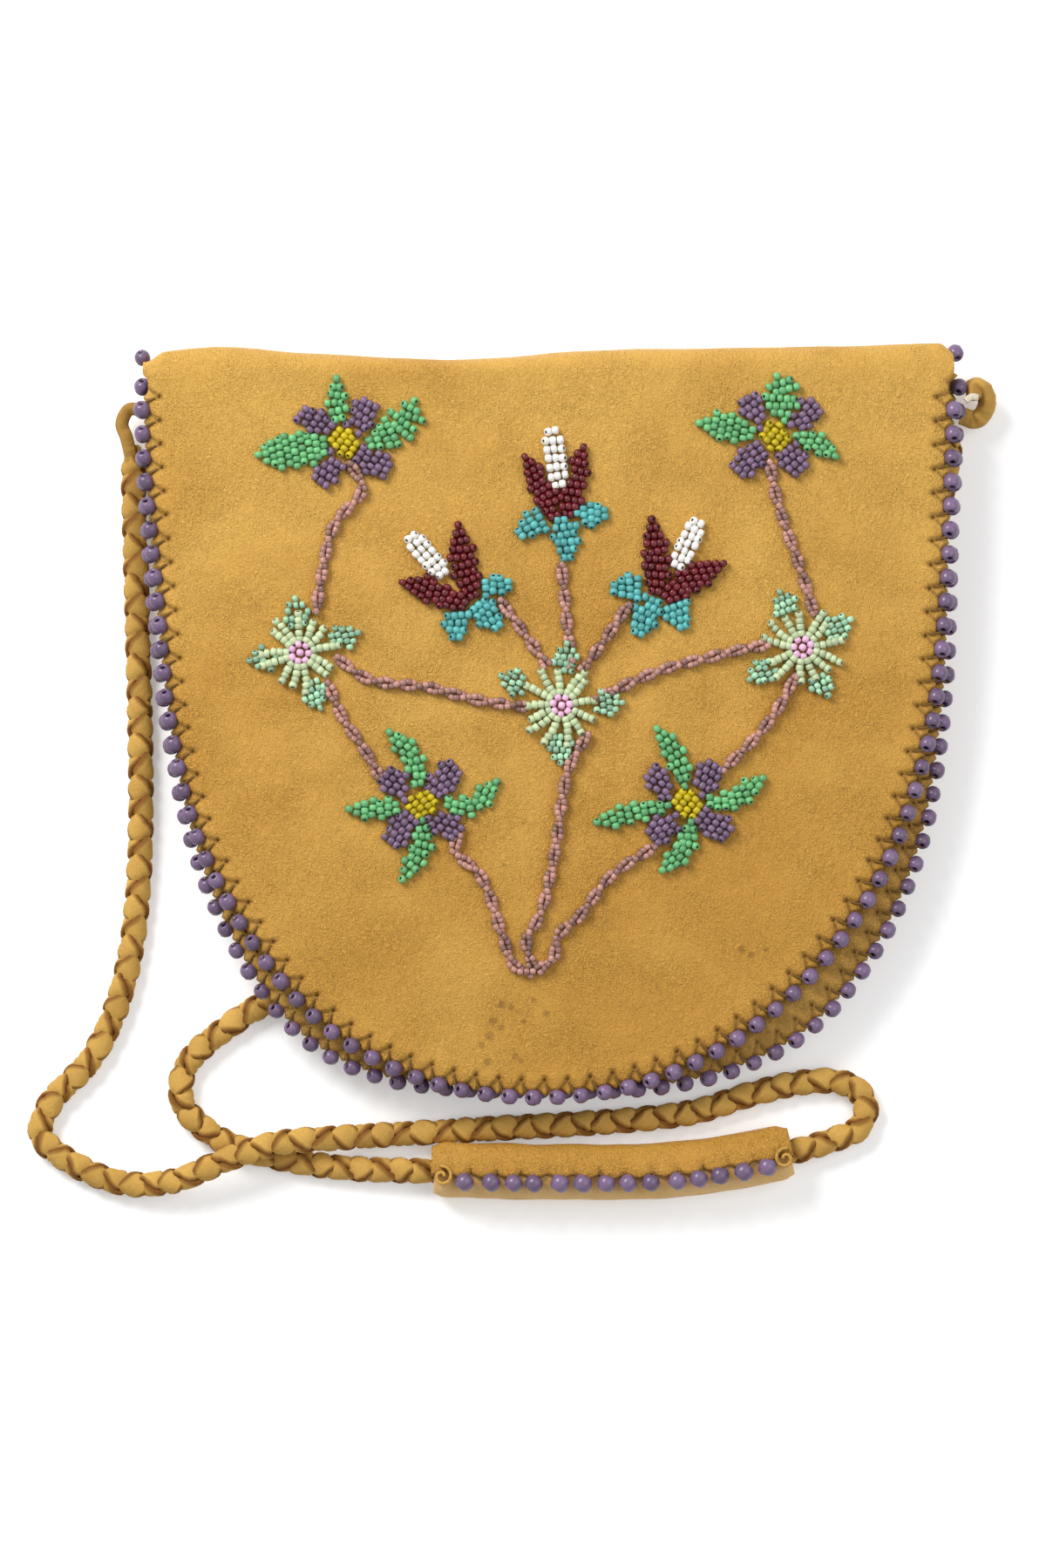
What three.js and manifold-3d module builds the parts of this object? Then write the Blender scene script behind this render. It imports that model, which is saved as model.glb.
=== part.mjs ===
// Beaded leather shoulder bag, lying on its back. Millimetres, +Z up.
// The outside of the flap faces +Z, and the fold at the top of the bag faces +Y.
// The origin is on the ground, under the middle of the bag without its strap.

import * as THREE from 'three';
import { mergeVertices } from 'three/addons/utils/BufferGeometryUtils.js';
import Module from 'manifold-3d';

const wasm = await Module();
wasm.setup();

// Leather and thread
const LEATHER = 1.2;
const CLEARANCE = 0.3;
const THREAD_RADIUS = 0.45;

// Whipstitched edges: one bead on each stitch
const BEAD_RADIUS = 2.0;
const BEAD_LENGTH = 3.9;
const BEAD_SIDES = 5;
const STITCH_PITCH = 5.8;
const NOTCH_DEPTH = 1.6;
const NOTCH_HALF_WIDTH = 1.1;

// The pouch: height of its seam, how far its panels bulge, and where its fold and mouth are
const HINGE_Y = 84;
const SEAM_LIFT = 8.0;
const LIFT_STARTS = 0.74;
const LIFT_ENDS = 0.95;
const FRONT_BULGE = 5.5;
const FLAP_BULGE = 4.2;
const FLAP_LIFT = 2.35;
const PILLOW_POWER = 3;
const TOP_FULLNESS = 0.45;
const BELLY_DEPTH = 60;
const MOUTH_DROP = 15;
const MOUTH_SAG = 5;
const FOLD_INSET = 1;

// How finely the panels, the fold and the measured curves are divided
const SHEET_RAYS = 34;
const SHEET_ROWS = [0.42, LIFT_STARTS, 0.93];
const MOUTH_STEPS = 12;
const FOLD_STATIONS = 12;
const FOLD_ARC_STEPS = 5;
const CURVE_SAMPLES = 160;
const ROUTE_SAMPLES = 400;
// Cutting bodies reach past the bag on every side.
const CUTTER_HEIGHT = 60;
const CUTTER_HALF_WIDTH = 120;

// Bead line of the seam round the pouch, from the fold on the left to the fold on the right
const BODY_RIM = [
  [-98.7, 84], [-98.6, 66], [-96.3, 32], [-92.4, -2], [-85.8, -32], [-74.2, -58],
  [-59.5, -76.3], [-39.6, -85.9], [-5, -88.6], [35, -86.2], [60.5, -75.2], [77.5, -55.6],
  [88.7, -30.7], [94.6, 4.8], [96.4, 50], [98.3, 84],
];
// Bead line of the flap, from the fold on the left to the fold on the right
const FLAP_RIM = [
  [-98.8, 84], [-98.3, 65], [-95.2, 31.7], [-91.5, -2.7], [-84.5, -29.5], [-68, -58.4],
  [-51.3, -75.4], [-29, -86.4], [-4.5, -90], [19.6, -87.2], [42.5, -77.1], [62.5, -60.3],
  [79.5, -36], [90.3, -5], [94.6, 28], [96.5, 72], [97, 84],
];
// The folded top edge wanders by a few millimetres
const FOLD_EDGE = [
  [-96, 89.4], [-80, 90.8], [-52, 88.8], [-22, 87.7], [10, 90.0], [45, 90.6], [96, 91.6],
];
const CORNER_BEADS = [[-98.8, 88.2], [97.3, 89.4]];
const CORNER_BEAD_LIFT = 8;

// Small beadwork, laid on the flap as low relief
const SMALL_BEAD = 2.2;
const BEADWORK_HEIGHT = 0.8;
const BEADWORK_BEVEL = 0.4;
const STEM_WIDTH = 3.0;
const STEM_WAIST = 1.3;
const STEM_CROSSING = 5.6;
const PETAL_LENGTH = 12.2;
const PETAL_WIDTH = 7.6;
const PETAL_ROOT_ANGLE = 39;
const FLOWER_CENTRE_RADIUS = 3.4;
const ROSETTE_CENTRE_RADIUS = 2.6;
const CENTRE_SIDES = 10;
const ROSETTE_RADIUS = 7.2;
const ROSETTE_STRINGS = 13;
const ROSETTE_STAGGER = 0.06;
const ROSETTE_NOTCH = 0.6;
const ROSETTE_LEAF_ROOT = 1.2;
const ROSETTE_LEAF_WIDTH = 6.4;
const BUD_ARM_WIDTH = 6.4;
const BUD_BAR_WIDTH = 5.8;
const BUD_LOBE_WIDTH = 5.9;
const LOBE_ROOT = 0.15;
// How wide each motif is along its length: share of the length, share of the full width
const PETAL_PROFILE = [[0.55, 1], [0.9, 0.75]];
const LEAF_PROFILE = [[0.05, 0.36], [0.35, 0.86], [0.62, 1], [0.86, 0.62]];
const BAR_PROFILE = [[0, 0.6], [0.15, 1], [0.88, 1], [1, 0.6]];
const LOBE_PROFILE = [[0, 0.55], [0.55, 1], [0.98, 0.5]];
const ARM_PROFILE = [[0, 0.8], [0.45, 1], [0.85, 0.6]];
const ARM_INSIDE = [0.75, 0.5];
const CROTCH_DEPTH = 0.8;

// Purple flowers: middle, the four petals' middles, and each leaf's root, bend, tip and width
const FLOWERS = {
  upper_left: {
    centre: [-49.9, 67.4],
    petals: [[-57.2, 72.2], [-45.7, 73.7], [-53.7, 61.1], [-42.7, 62.6]],
    leaves: {
      left: { spine: [[-53, 66.8], [-61.4, 65.5], [-70.5, 64.4]], width: 7.8 },
      top: { spine: [[-50.9, 71.2], [-51.8, 76.4], [-51.8, 82.6]], width: 5.2 },
      right: { spine: [[-43.6, 67.2], [-37.1, 70.6], [-33, 77.3]], width: 7.4 },
    },
  },
  upper_right: {
    centre: [53.4, 68.7],
    petals: [[49, 75], [60.4, 73.9], [47.1, 63], [57.4, 63.6]],
    leaves: {
      top: { spine: [[54.9, 72.5], [54.9, 79.6], [53.9, 83.2]], width: 7.4 },
      right: { spine: [[58.5, 68.9], [63.9, 67.2], [67.9, 64]], width: 4.8 },
      left: { spine: [[49.5, 69.1], [42.3, 71], [35.4, 72]], width: 5.6 },
    },
  },
  lower_left: {
    centre: [-31.2, -19.5],
    petals: [[-37.1, -14.7], [-25.7, -13.4], [-36.4, -25.6], [-25.7, -24.1]],
    leaves: {
      top: { spine: [[-31.6, -16.2], [-33.3, -8.2], [-39, -2.3]], width: 5.6 },
      right: { spine: [[-26.8, -19.1], [-19.6, -19.9], [-13.3, -14.1]], width: 5.6 },
      bottom: { spine: [[-31.2, -23.3], [-31, -29.4], [-36, -37.4]], width: 5.6 },
      left: { spine: [[-35.6, -20.2], [-42.1, -20.6], [-48.6, -20.6]], width: 5.6 },
    },
  },
  lower_right: {
    centre: [32.4, -19.3],
    petals: [[26.4, -14.1], [36.9, -13.2], [26.8, -24.8], [39, -24.4]],
    leaves: {
      top: { spine: [[31.8, -15.1], [29.9, -8.4], [25.1, -1.5]], width: 5.6 },
      right: { spine: [[36, -19.1], [43.4, -18.3], [50.5, -13.2]], width: 5.6 },
      bottom: { spine: [[33.3, -23.7], [32, -29.8], [26.4, -35.3]], width: 5.6 },
      left: { spine: [[27.8, -19.7], [19.6, -21.4], [10.8, -23.7]], width: 5.6 },
    },
  },
};
// Buds: foot of the cup, its two tips, the ends of the white bar, and three lobes under the cup
const BUDS = {
  middle: {
    foot: [2.2, 49.6],
    tips: [[7.7, 66.8], [-6.8, 64.3]],
    bar: [[1.8, 56.1], [-0.3, 71]],
    lobes: [[[-1.1, 50.2], [-8.3, 44.9]], [[2.8, 49], [3.7, 38.9]], [[5.8, 50.2], [13.3, 50.2]]],
  },
  left: {
    foot: [-20.1, 29.4],
    tips: [[-22.6, 48.2], [-36.5, 33.9]],
    bar: [[-25.7, 35.1], [-34.4, 45.3]],
    lobes: [[[-23, 27.6], [-23, 19.8]], [[-17.7, 28.4], [-12.7, 22.6]], [[-18, 32.5], [-9.7, 33.2]]],
  },
  right: {
    foot: [26.1, 30.9],
    tips: [[41.6, 38.6], [23.8, 49.5]],
    bar: [[29.7, 36.9], [35.3, 49]],
    lobes: [[[22.5, 32.8], [14, 32.3]], [[23.9, 29.7], [20.3, 20.8]], [[28.7, 29.7], [31.6, 22.4]]],
  },
};
// Rosettes: middle, and the tips of the four openwork leaves between the strings
const ROSETTES = {
  left: { centre: [-60.4, 16.8], leaves: [[-61.7, 30.2], [-46.3, 21.8], [-72.8, 15], [-55.6, 3.4]] },
  middle: { centre: [2.2, 4.2], leaves: [[-12.5, 11.5], [3.5, 19.3], [17.1, 5], [2, -9.9]] },
  right: { centre: [60, 18.1], leaves: [[54.3, 31.7], [71.7, 25], [47, 10.3], [66.2, 6.5]] },
};
// Stems; the last one gathers the three that meet at the foot of the plant
const STEMS = {
  upper_left: [[[-48.8, 62.6], [-45.5, 56.1], [-52.4, 47.2], [-56.8, 25.8]]],
  upper_right: [[[52, 63], [54.1, 52.7], [59.1, 38.2], [63.1, 25.2]]],
  middle_bud: [[[2.2, 38.3], [4.7, 12]]],
  left_bud: [[[-12.7, 29.8], [-0.5, 12.8]]],
  right_bud: [[[18.6, 28.6], [6.8, 11.8]]],
  left_link: [[[-52, 16], [-44, 10.5], [-29.5, 8.6], [-19.6, 5.9], [-5.4, 3.6]]],
  right_link: [[[10, 5.6], [25.3, 12.4], [39.4, 16.2], [52.4, 19.1]]],
  lower_left: [[[-54, 10], [-50.1, 1.1], [-45.9, -5], [-41, -13.4]]],
  lower_right: [[[58.5, 11.5], [53.9, 3.1], [48, -4.2], [40.6, -11.5]]],
  foot: [
    [[8.7, -2.3], [3.9, -11.3], [0.3, -32.5], [-3, -46.2], [-6.2, -52.1], [-4.4, -59.2]],
    [[-22, -26.5], [-23.4, -30.7], [-17.3, -36.3], [-12.1, -50.4], [-9.3, -58], [-4.2, -60.4]],
    [[24.9, -29.4], [14, -36.8], [6.6, -46.2], [1.4, -51], [0.3, -56.3], [-4.4, -59.8]],
  ],
};

// Strap, its shoulder sleeve, end loop and knot
const STRAP_RADIUS = 3.15;
const STRAP_REST = 3.2;
const STRAP_HUMP = 9.75;
const STRAP_STEP = 14;
const STRAP_SIDES = 8;
const LACE_SIDES = 6;
const LACE_STEPS = 8;
const THONG_STEPS = 3;
const SLEEVE_SIDES = 12;
const SLEEVE_RINGS = 7;
const SLEEVE_PLAY = 0.05;
const SLEEVE_HALF_WIDTH = 6.4;
const SLEEVE_HALF_HEIGHT = 4.75;
const SLEEVE_STARTS = [57.2, -103.9];
const SLEEVE_ENDS = [-28.8, -108.3];
const SLEEVE_BEADS = 14;
const SLEEVE_SEAM_OFFSET = 2.1;
const LOOP_RADIUS = 1.15;
const KNOT_LACE_RADIUS = 2.3;
const THONG_RADIUS = 0.85;

const SLEEVE_LIE = SLEEVE_HALF_HEIGHT + SLEEVE_PLAY;
const STRAP_ROUTE = [
  [-101.4, 67.5, STRAP_REST], [-100.2, -40, STRAP_REST],
  [-104.6, -66, STRAP_REST], [-111.5, -81, STRAP_REST], [-121.5, -92, STRAP_REST],
  [-123.8, -99.5, STRAP_REST], [-117.5, -105.6, 3.3], [-104, -111.2, 4.2],
  [-91.5, -110.6, 7.0], [-79, -105.5, STRAP_HUMP], [-67, -101.5, STRAP_HUMP],
  [-52, -100.2, 6.9], [-38, -99.4, 4.1], [-22, -98.5, 3.3],
  [33, -94.3, STRAP_REST], [48, -89.8, STRAP_REST], [60, -87.0, STRAP_REST],
  [69.2, -86.7, STRAP_REST], [74.2, -88.9, STRAP_REST], [76.1, -93.5, 3.4],
  [74.0, -98.1, 3.8], [69.0, -100.4, 4.2], [57.5, -103.8, SLEEVE_LIE], [30, -108.3, SLEEVE_LIE], [0, -108.9, SLEEVE_LIE],
  [-28.5, -108.3, SLEEVE_LIE], [-50, -107.6, 3.6], [-67, -105, 3.3],
  [-80.5, -100.6, STRAP_REST], [-89.3, -92.2, STRAP_REST], [-88.8, -83.4, STRAP_REST],
  [-79.5, -74.2, STRAP_REST], [-66, -67.2, STRAP_REST], [-40, -75.5, STRAP_REST],
  [-5, -81.3, STRAP_REST], [35, -78.4, STRAP_REST], [65.5, -60.5, STRAP_REST],
  [84, -24, STRAP_REST], [90.2, 30, STRAP_REST], [97.2, 71.5, STRAP_REST],
];
const LOOP_ROUTE = [
  [-102.9, 69.1, 4.3], [-104.0, 72.6, 4.7], [-102.1, 76.0, 5.0], [-98.6, 75.4, 5.2],
  [-95.4, 74.8, 5.9],
];
const KNOT_ROUTE = [
  [99.0, 74.6, 3.2], [102.6, 73.6, 3.6], [105.0, 76.6, 5.4], [104.2, 80.8, 7.2],
  [101.6, 81.6, 7.9], [101.9, 78.4, 8.6],
];
const THONG_ROUTE = [[99.5, 77.6, 12.1], [101.0, 78.6, 11.9], [102.6, 78.4, 11.6]];

const COLOURS = {
  leather: 0xd4a64b,
  suede: 0xb98a45,
  edgeBead: 0x836587,
  petal: 0x6b5a76,
  leaf: 0x58b87a,
  yolk: 0xcdbb1c,
  maroon: 0x4f141c,
  white: 0xf0efe8,
  turquoise: 0x46a9a2,
  paleGreen: 0xbecd98,
  pink: 0xe8b8d6,
  stem: 0x96696a,
  thong: 0xe9e0c8,
};

const bag = new THREE.Group();
const flapGroup = new THREE.Group();
bag.add(flapGroup);

function addPiece(name, geometry, colour, roughness, parent = bag) {
  const material = new THREE.MeshStandardMaterial({ color: colour, roughness, metalness: 0 });
  const mesh = new THREE.Mesh(geometry, material);
  mesh.name = name;
  parent.add(mesh);
  return mesh;
}

// Closed meshes

function signedVolume(points, triangles) {
  let six = 0;
  const [a, b, c] = [new THREE.Vector3(), new THREE.Vector3(), new THREE.Vector3()];
  for (const [i, j, k] of triangles) {
    a.copy(points[i]);
    b.copy(points[j]);
    c.copy(points[k]);
    six += a.dot(b.cross(c));
  }
  return six / 6;
}

function closedGeometry(points, triangles) {
  const inward = signedVolume(points, triangles) < 0;
  const order = triangles.flatMap(([i, j, k]) => (inward ? [i, k, j] : [i, j, k]));
  const geometry = new THREE.BufferGeometry();
  const flat = points.flatMap((p) => [p.x, p.y, p.z]);
  geometry.setAttribute('position', new THREE.Float32BufferAttribute(flat, 3));
  geometry.setIndex(order);
  return geometry;
}

function toSolid(geometry) {
  const bare = geometry.clone();
  bare.deleteAttribute('normal');
  bare.deleteAttribute('uv');
  const merged = mergeVertices(bare, 1e-4);
  return new wasm.Manifold(new wasm.Mesh({
    numProp: 3,
    vertProperties: new Float32Array(merged.attributes.position.array),
    triVerts: new Uint32Array(merged.index.array),
  }));
}

function fromSolid(solid) {
  const mesh = solid.getMesh();
  const geometry = new THREE.BufferGeometry();
  geometry.setAttribute('position', new THREE.BufferAttribute(mesh.vertProperties, 3));
  geometry.setIndex(new THREE.BufferAttribute(mesh.triVerts, 1));
  return geometry;
}

// Fills a flat ring of points, in the ring's own turning direction
function capTriangles(ring) {
  const normal = new THREE.Vector3();
  ring.forEach((p, i) => normal.add(p.clone().cross(ring[(i + 1) % ring.length])));
  normal.normalize();
  const right = ring[1].clone().sub(ring[0]).normalize();
  const up = normal.clone().cross(right);
  const flat = ring.map((p) => new THREE.Vector2(p.dot(right), p.dot(up)));
  return THREE.ShapeUtils.triangulateShape(flat, []);
}

// Joins equal rings of points end to end and closes both ends.
function loftRings(rings) {
  const count = rings[0].length;
  const points = rings.flat();
  const triangles = [];
  for (let r = 0; r < rings.length - 1; r += 1) {
    for (let i = 0; i < count; i += 1) {
      const j = (i + 1) % count;
      const [a, b] = [r * count + i, r * count + j];
      triangles.push([a, b, b + count], [a, b + count, a + count]);
    }
  }
  const last = (rings.length - 1) * count;
  for (const [i, j, k] of capTriangles(rings[0])) triangles.push([i, k, j]);
  for (const [i, j, k] of capTriangles(rings[rings.length - 1])) {
    triangles.push([last + i, last + j, last + k]);
  }
  return closedGeometry(points, triangles);
}

// A round section swept along a smooth route
function sweptTube(route, radius, sides, steps) {
  const curve = new THREE.CatmullRomCurve3(route.map((p) => new THREE.Vector3(...p)));
  const section = new THREE.Shape();
  for (let i = 0; i < sides; i += 1) {
    const turn = (i / sides) * 2 * Math.PI;
    const point = [radius * Math.cos(turn), radius * Math.sin(turn)];
    if (i === 0) section.moveTo(...point);
    else section.lineTo(...point);
  }
  section.closePath();
  return new THREE.ExtrudeGeometry(section, { steps, extrudePath: curve, bevelEnabled: false });
}

// Outlines in plan

const flatCurve = (points) => new THREE.CatmullRomCurve3(
  points.map(([x, y]) => new THREE.Vector3(x, y, 0)), false, 'centripetal');

const bodyRim = flatCurve(BODY_RIM);
const flapRim = flatCurve(FLAP_RIM);
const foldEdge = flatCurve(FOLD_EDGE);

// Direction that points into the bag from a rim that runs down, across and up again
function inward(curve, u) {
  const along = curve.getTangentAt(u);
  return new THREE.Vector3(-along.y, along.x, 0);
}

// Distance from the middle of the hinge line to a rim, in a given direction
function reachOf(curve) {
  const samples = curve.getSpacedPoints(CURVE_SAMPLES).map((p) => ({
    angle: Math.atan2(p.x, HINGE_Y - p.y),
    reach: Math.hypot(p.x, HINGE_Y - p.y),
  }));
  return (angle) => {
    const next = samples.findIndex((s) => s.angle >= angle);
    if (next <= 0) return samples[next < 0 ? samples.length - 1 : 0].reach;
    const [a, b] = [samples[next - 1], samples[next]];
    const t = (angle - a.angle) / (b.angle - a.angle);
    return a.reach + t * (b.reach - a.reach);
  };
}

const bodyReach = reachOf(bodyRim);
const flapReach = reachOf(flapRim);

// Heights of the leather over the ground

// 0 in the middle of the hinge line, 1 at the seam
function shareToSeam(x, y) {
  const angle = Math.atan2(x, Math.max(HINGE_Y - y, 0));
  return Math.min(Math.hypot(x, HINGE_Y - y) / bodyReach(angle), 1);
}

function fullness(x, y) {
  const belly = THREE.MathUtils.smoothstep(HINGE_Y - y, 0, BELLY_DEPTH);
  const alongside = 1 - shareToSeam(x, y) ** PILLOW_POWER;
  return alongside * THREE.MathUtils.lerp(TOP_FULLNESS, 1, belly);
}

const backUnderside = (x, y) =>
  SEAM_LIFT * THREE.MathUtils.smoothstep(shareToSeam(x, y), LIFT_STARTS, LIFT_ENDS);
const FRONT_SEAM = SEAM_LIFT + LEATHER + CLEARANCE;
const frontUnderside = (x, y) => FRONT_SEAM + FRONT_BULGE * fullness(x, y);
const FLAP_SEAM = FRONT_SEAM + LEATHER + FLAP_LIFT;
const flapUnderside = (x, y) => FLAP_SEAM + FLAP_BULGE * fullness(x, y);
const flapTop = (x, y) => flapUnderside(x, y) + LEATHER;

// Leather panels: a domed sheet inside a stitched outline

// Joins two rows of points that both run from left to right, however many points each has
function zip(near, far, angleOf) {
  const triangles = [];
  let [i, j] = [0, 0];
  while (i < near.length - 1 || j < far.length - 1) {
    const stepFar = i === near.length - 1
      || (j < far.length - 1 && angleOf(far[j + 1]) < angleOf(near[i + 1]));
    triangles.push([near[i], far[j], stepFar ? far[j + 1] : near[i + 1]]);
    if (stepFar) j += 1;
    else i += 1;
  }
  return triangles;
}

// The sheet fans out from the middle of the hinge line, in rows that end at its stitched edge.
function domedSheet(edge, reach, underside) {
  const top = HINGE_Y - CLEARANCE / 2;
  const rows = [[new THREE.Vector2(0, top)]];
  for (const share of SHEET_ROWS) {
    rows.push(Array.from({ length: SHEET_RAYS + 1 }, (_, ray) => {
      const angle = Math.PI * (ray / SHEET_RAYS - 0.5);
      const out = share * reach(angle);
      return new THREE.Vector2(out * Math.sin(angle), top - out * Math.cos(angle));
    }));
  }
  rows.push([new THREE.Vector2(edge[0].x, top), ...edge, new THREE.Vector2(edge.at(-1).x, top)]);
  const plan = rows.flat();
  const under = plan.map((p) => new THREE.Vector3(p.x, p.y, underside(p.x, p.y)));
  const over = under.map((p) => p.clone().setZ(p.z + LEATHER));
  const angleOf = (i) => Math.atan2(plan[i].x, top - plan[i].y);
  let start = 0;
  const numbered = rows.map((row) => row.map(() => start++));
  const sheet = [];
  for (let i = 0; i < numbered.length - 1; i += 1) {
    sheet.push(...zip(numbered[i], numbered[i + 1], angleOf));
  }
  const rim = [
    ...numbered.slice(0, -1).map((row) => row[0]),
    ...numbered.at(-1),
    ...numbered.slice(1, -1).reverse().map((row) => row.at(-1)),
  ];
  const triangles = [];
  for (const [i, j, k] of sheet) triangles.push([i, j, k], [i + plan.length, k + plan.length, j + plan.length]);
  rim.forEach((i, place) => {
    const j = rim[(place + 1) % rim.length];
    triangles.push([j, i, i + plan.length], [j, i + plan.length, j + plan.length]);
  });
  return closedGeometry([...under, ...over], triangles);
}

// Every stitch pulls a notch into the edge of the leather, beside its bead.
function stitchedOutline(curve) {
  const stitches = Math.round(curve.getLength() / STITCH_PITCH);
  const edge = [];
  const tuck = BEAD_RADIUS + CLEARANCE;
  const halfNotch = NOTCH_HALF_WIDTH / curve.getLength();
  for (let i = 0; i < stitches; i += 1) {
    const middle = (i + 0.5) / stitches;
    for (const [shift, depth] of [[-halfNotch, 0], [0, NOTCH_DEPTH], [halfNotch, 0]]) {
      const u = middle + shift;
      edge.push(curve.getPointAt(u).addScaledVector(inward(curve, u), tuck + depth));
    }
  }
  return edge;
}

function prism(outline) {
  const shape = new THREE.Shape(outline.map((p) => new THREE.Vector2(p.x, p.y)));
  return toSolid(new THREE.ExtrudeGeometry(shape, { depth: CUTTER_HEIGHT, bevelEnabled: false }));
}

const panel = (curve, reach, underside) => domedSheet(stitchedOutline(curve), reach, underside);

// What is cut away above the mouth of the pouch, whose edge sags in the middle
function mouthCutter() {
  const half = CUTTER_HALF_WIDTH;
  const [top, mouth] = [HINGE_Y + MOUTH_DROP, HINGE_Y - MOUTH_DROP];
  const sag = new THREE.QuadraticBezierCurve(
    new THREE.Vector2(-half, mouth),
    new THREE.Vector2(0, mouth - 2 * MOUTH_SAG),
    new THREE.Vector2(half, mouth),
  );
  return prism([new THREE.Vector2(-half, top), ...sag.getPoints(MOUTH_STEPS), new THREE.Vector2(half, top)]);
}

const frontSheet = toSolid(panel(bodyRim, bodyReach, frontUnderside)).subtract(mouthCutter());
addPiece('back_panel', panel(bodyRim, bodyReach, backUnderside), COLOURS.leather, 0.7);
addPiece('front_panel', fromSolid(frontSheet), COLOURS.leather, 0.7);
addPiece('flap', panel(flapRim, flapReach, flapUnderside), COLOURS.leather, 0.65, flapGroup);

// The fold: the leather curls from the back panel over to the flap.
function foldStrip() {
  const start = HINGE_Y + CLEARANCE / 2;
  const halfWidth = Math.abs(BODY_RIM[0][0]) - BEAD_RADIUS - CLEARANCE - FOLD_INSET;
  const edges = foldEdge.getSpacedPoints(CURVE_SAMPLES);
  const rings = [];
  for (let i = 0; i <= FOLD_STATIONS; i += 1) {
    const x = halfWidth * (2 * i / FOLD_STATIONS - 1);
    const nearest = edges.reduce((a, b) => (Math.abs(b.x - x) < Math.abs(a.x - x) ? b : a));
    const low = backUnderside(x, HINGE_Y);
    const high = flapTop(x, HINGE_Y);
    const middle = (low + high) / 2;
    const arc = (inset) => Array.from({ length: FOLD_ARC_STEPS + 1 }, (_, step) => {
      const turn = Math.PI * (step / FOLD_ARC_STEPS - 0.5);
      const out = (nearest.y - start - inset) * Math.cos(turn);
      const up = ((high - low) / 2 - inset) * Math.sin(turn);
      return new THREE.Vector3(x, start + out, middle + up);
    });
    rings.push([...arc(0), ...arc(LEATHER).reverse()]);
  }
  return loftRings(rings);
}

addPiece('flap_fold', foldStrip(), COLOURS.leather, 0.65);

// Rows of beads: one closed string, waisted to the thread between beads
function beadString(places) {
  const half = BEAD_LENGTH / 2;
  const rings = [];
  places.forEach((bead, index) => {
    const before = places[Math.max(index - 1, 0)];
    const after = places[Math.min(index + 1, places.length - 1)];
    const along = after.clone().sub(before).normalize();
    const side = new THREE.Vector3(0, 0, 1).cross(along).normalize();
    const up = along.clone().cross(side);
    const ring = (shift, size) => Array.from({ length: BEAD_SIDES }, (_, i) => {
      const turn = ((i + 0.5) / BEAD_SIDES) * 2 * Math.PI;
      return bead.clone()
        .addScaledVector(along, shift)
        .addScaledVector(side, size * Math.cos(turn))
        .addScaledVector(up, size * Math.sin(turn));
    });
    rings.push(ring(-half, THREAD_RADIUS), ring(0, BEAD_RADIUS));
    if (index === places.length - 1) rings.push(ring(half, THREAD_RADIUS));
  });
  return loftRings(rings);
}

function rimPlaces(curve, height) {
  const stitches = Math.round(curve.getLength() / STITCH_PITCH);
  return Array.from({ length: stitches }, (_, i) => {
    const p = curve.getPointAt((i + 0.5) / stitches);
    return new THREE.Vector3(p.x, p.y, height(p.x, p.y));
  });
}

const seamMiddle = () => SEAM_LIFT + LEATHER + CLEARANCE / 2;
const flapMiddle = (x, y) => flapUnderside(x, y) + LEATHER / 2;
const [leftCorner, rightCorner] = CORNER_BEADS.map(([x, y]) => new THREE.Vector3(x, y, CORNER_BEAD_LIFT));
const bodyPlaces = [leftCorner, ...rimPlaces(bodyRim, seamMiddle), rightCorner];
// The flap's own row starts one stitch below the fold, so that it clears the corner beads.
const flapPlaces = rimPlaces(flapRim, flapMiddle).slice(1, -1);
addPiece('body_edge_beads', beadString(bodyPlaces), COLOURS.edgeBead, 0.4);
addPiece('flap_edge_beads', beadString(flapPlaces), COLOURS.edgeBead, 0.4, flapGroup);

// Beadwork in low relief, following the flap

const toVectors = (outline) => {
  const loop = outline.map(([x, y]) => new THREE.Vector2(x, y));
  return THREE.ShapeUtils.isClockWise(loop) ? loop.reverse() : loop;
};

// Moves an outline outwards, or inwards with a distance below 0
function grow(loop, distance) {
  return loop.map((p, i) => {
    const before = loop[(i + loop.length - 1) % loop.length];
    const after = loop[(i + 1) % loop.length];
    const along = after.clone().sub(before).normalize();
    return new THREE.Vector2(p.x + along.y * distance, p.y - along.x * distance);
  });
}

function relief(outline, thickness, bevel, lift = 0) {
  const loop = toVectors(outline);
  const count = loop.length;
  const seat = (p, up) => new THREE.Vector3(p.x, p.y, flapTop(p.x, p.y) + CLEARANCE + lift + up);
  const levels = [loop.map((p) => seat(p, 0)), loop.map((p) => seat(p, thickness - bevel))];
  const crown = grow(loop, -bevel);
  if (bevel > 0) levels.push(crown.map((p) => seat(p, thickness)));
  const triangles = [];
  for (let level = 0; level < levels.length - 1; level += 1) {
    for (let i = 0; i < count; i += 1) {
      const [a, b] = [level * count + i, level * count + (i + 1) % count];
      triangles.push([a, b, b + count], [a, b + count, a + count]);
    }
  }
  const top = (levels.length - 1) * count;
  for (const [i, j, k] of THREE.ShapeUtils.triangulateShape(loop, [])) {
    triangles.push([i, k, j]);
  }
  for (const [i, j, k] of THREE.ShapeUtils.triangulateShape(crown, [])) {
    triangles.push([i + top, j + top, k + top]);
  }
  return toSolid(closedGeometry(levels.flat(), triangles));
}

// Pieces already laid down, which later ones stop short of
const laid = [];

const largest = (solid) =>
  solid.decompose().reduce((a, b) => (b.volume() > a.volume() ? b : a));

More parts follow.
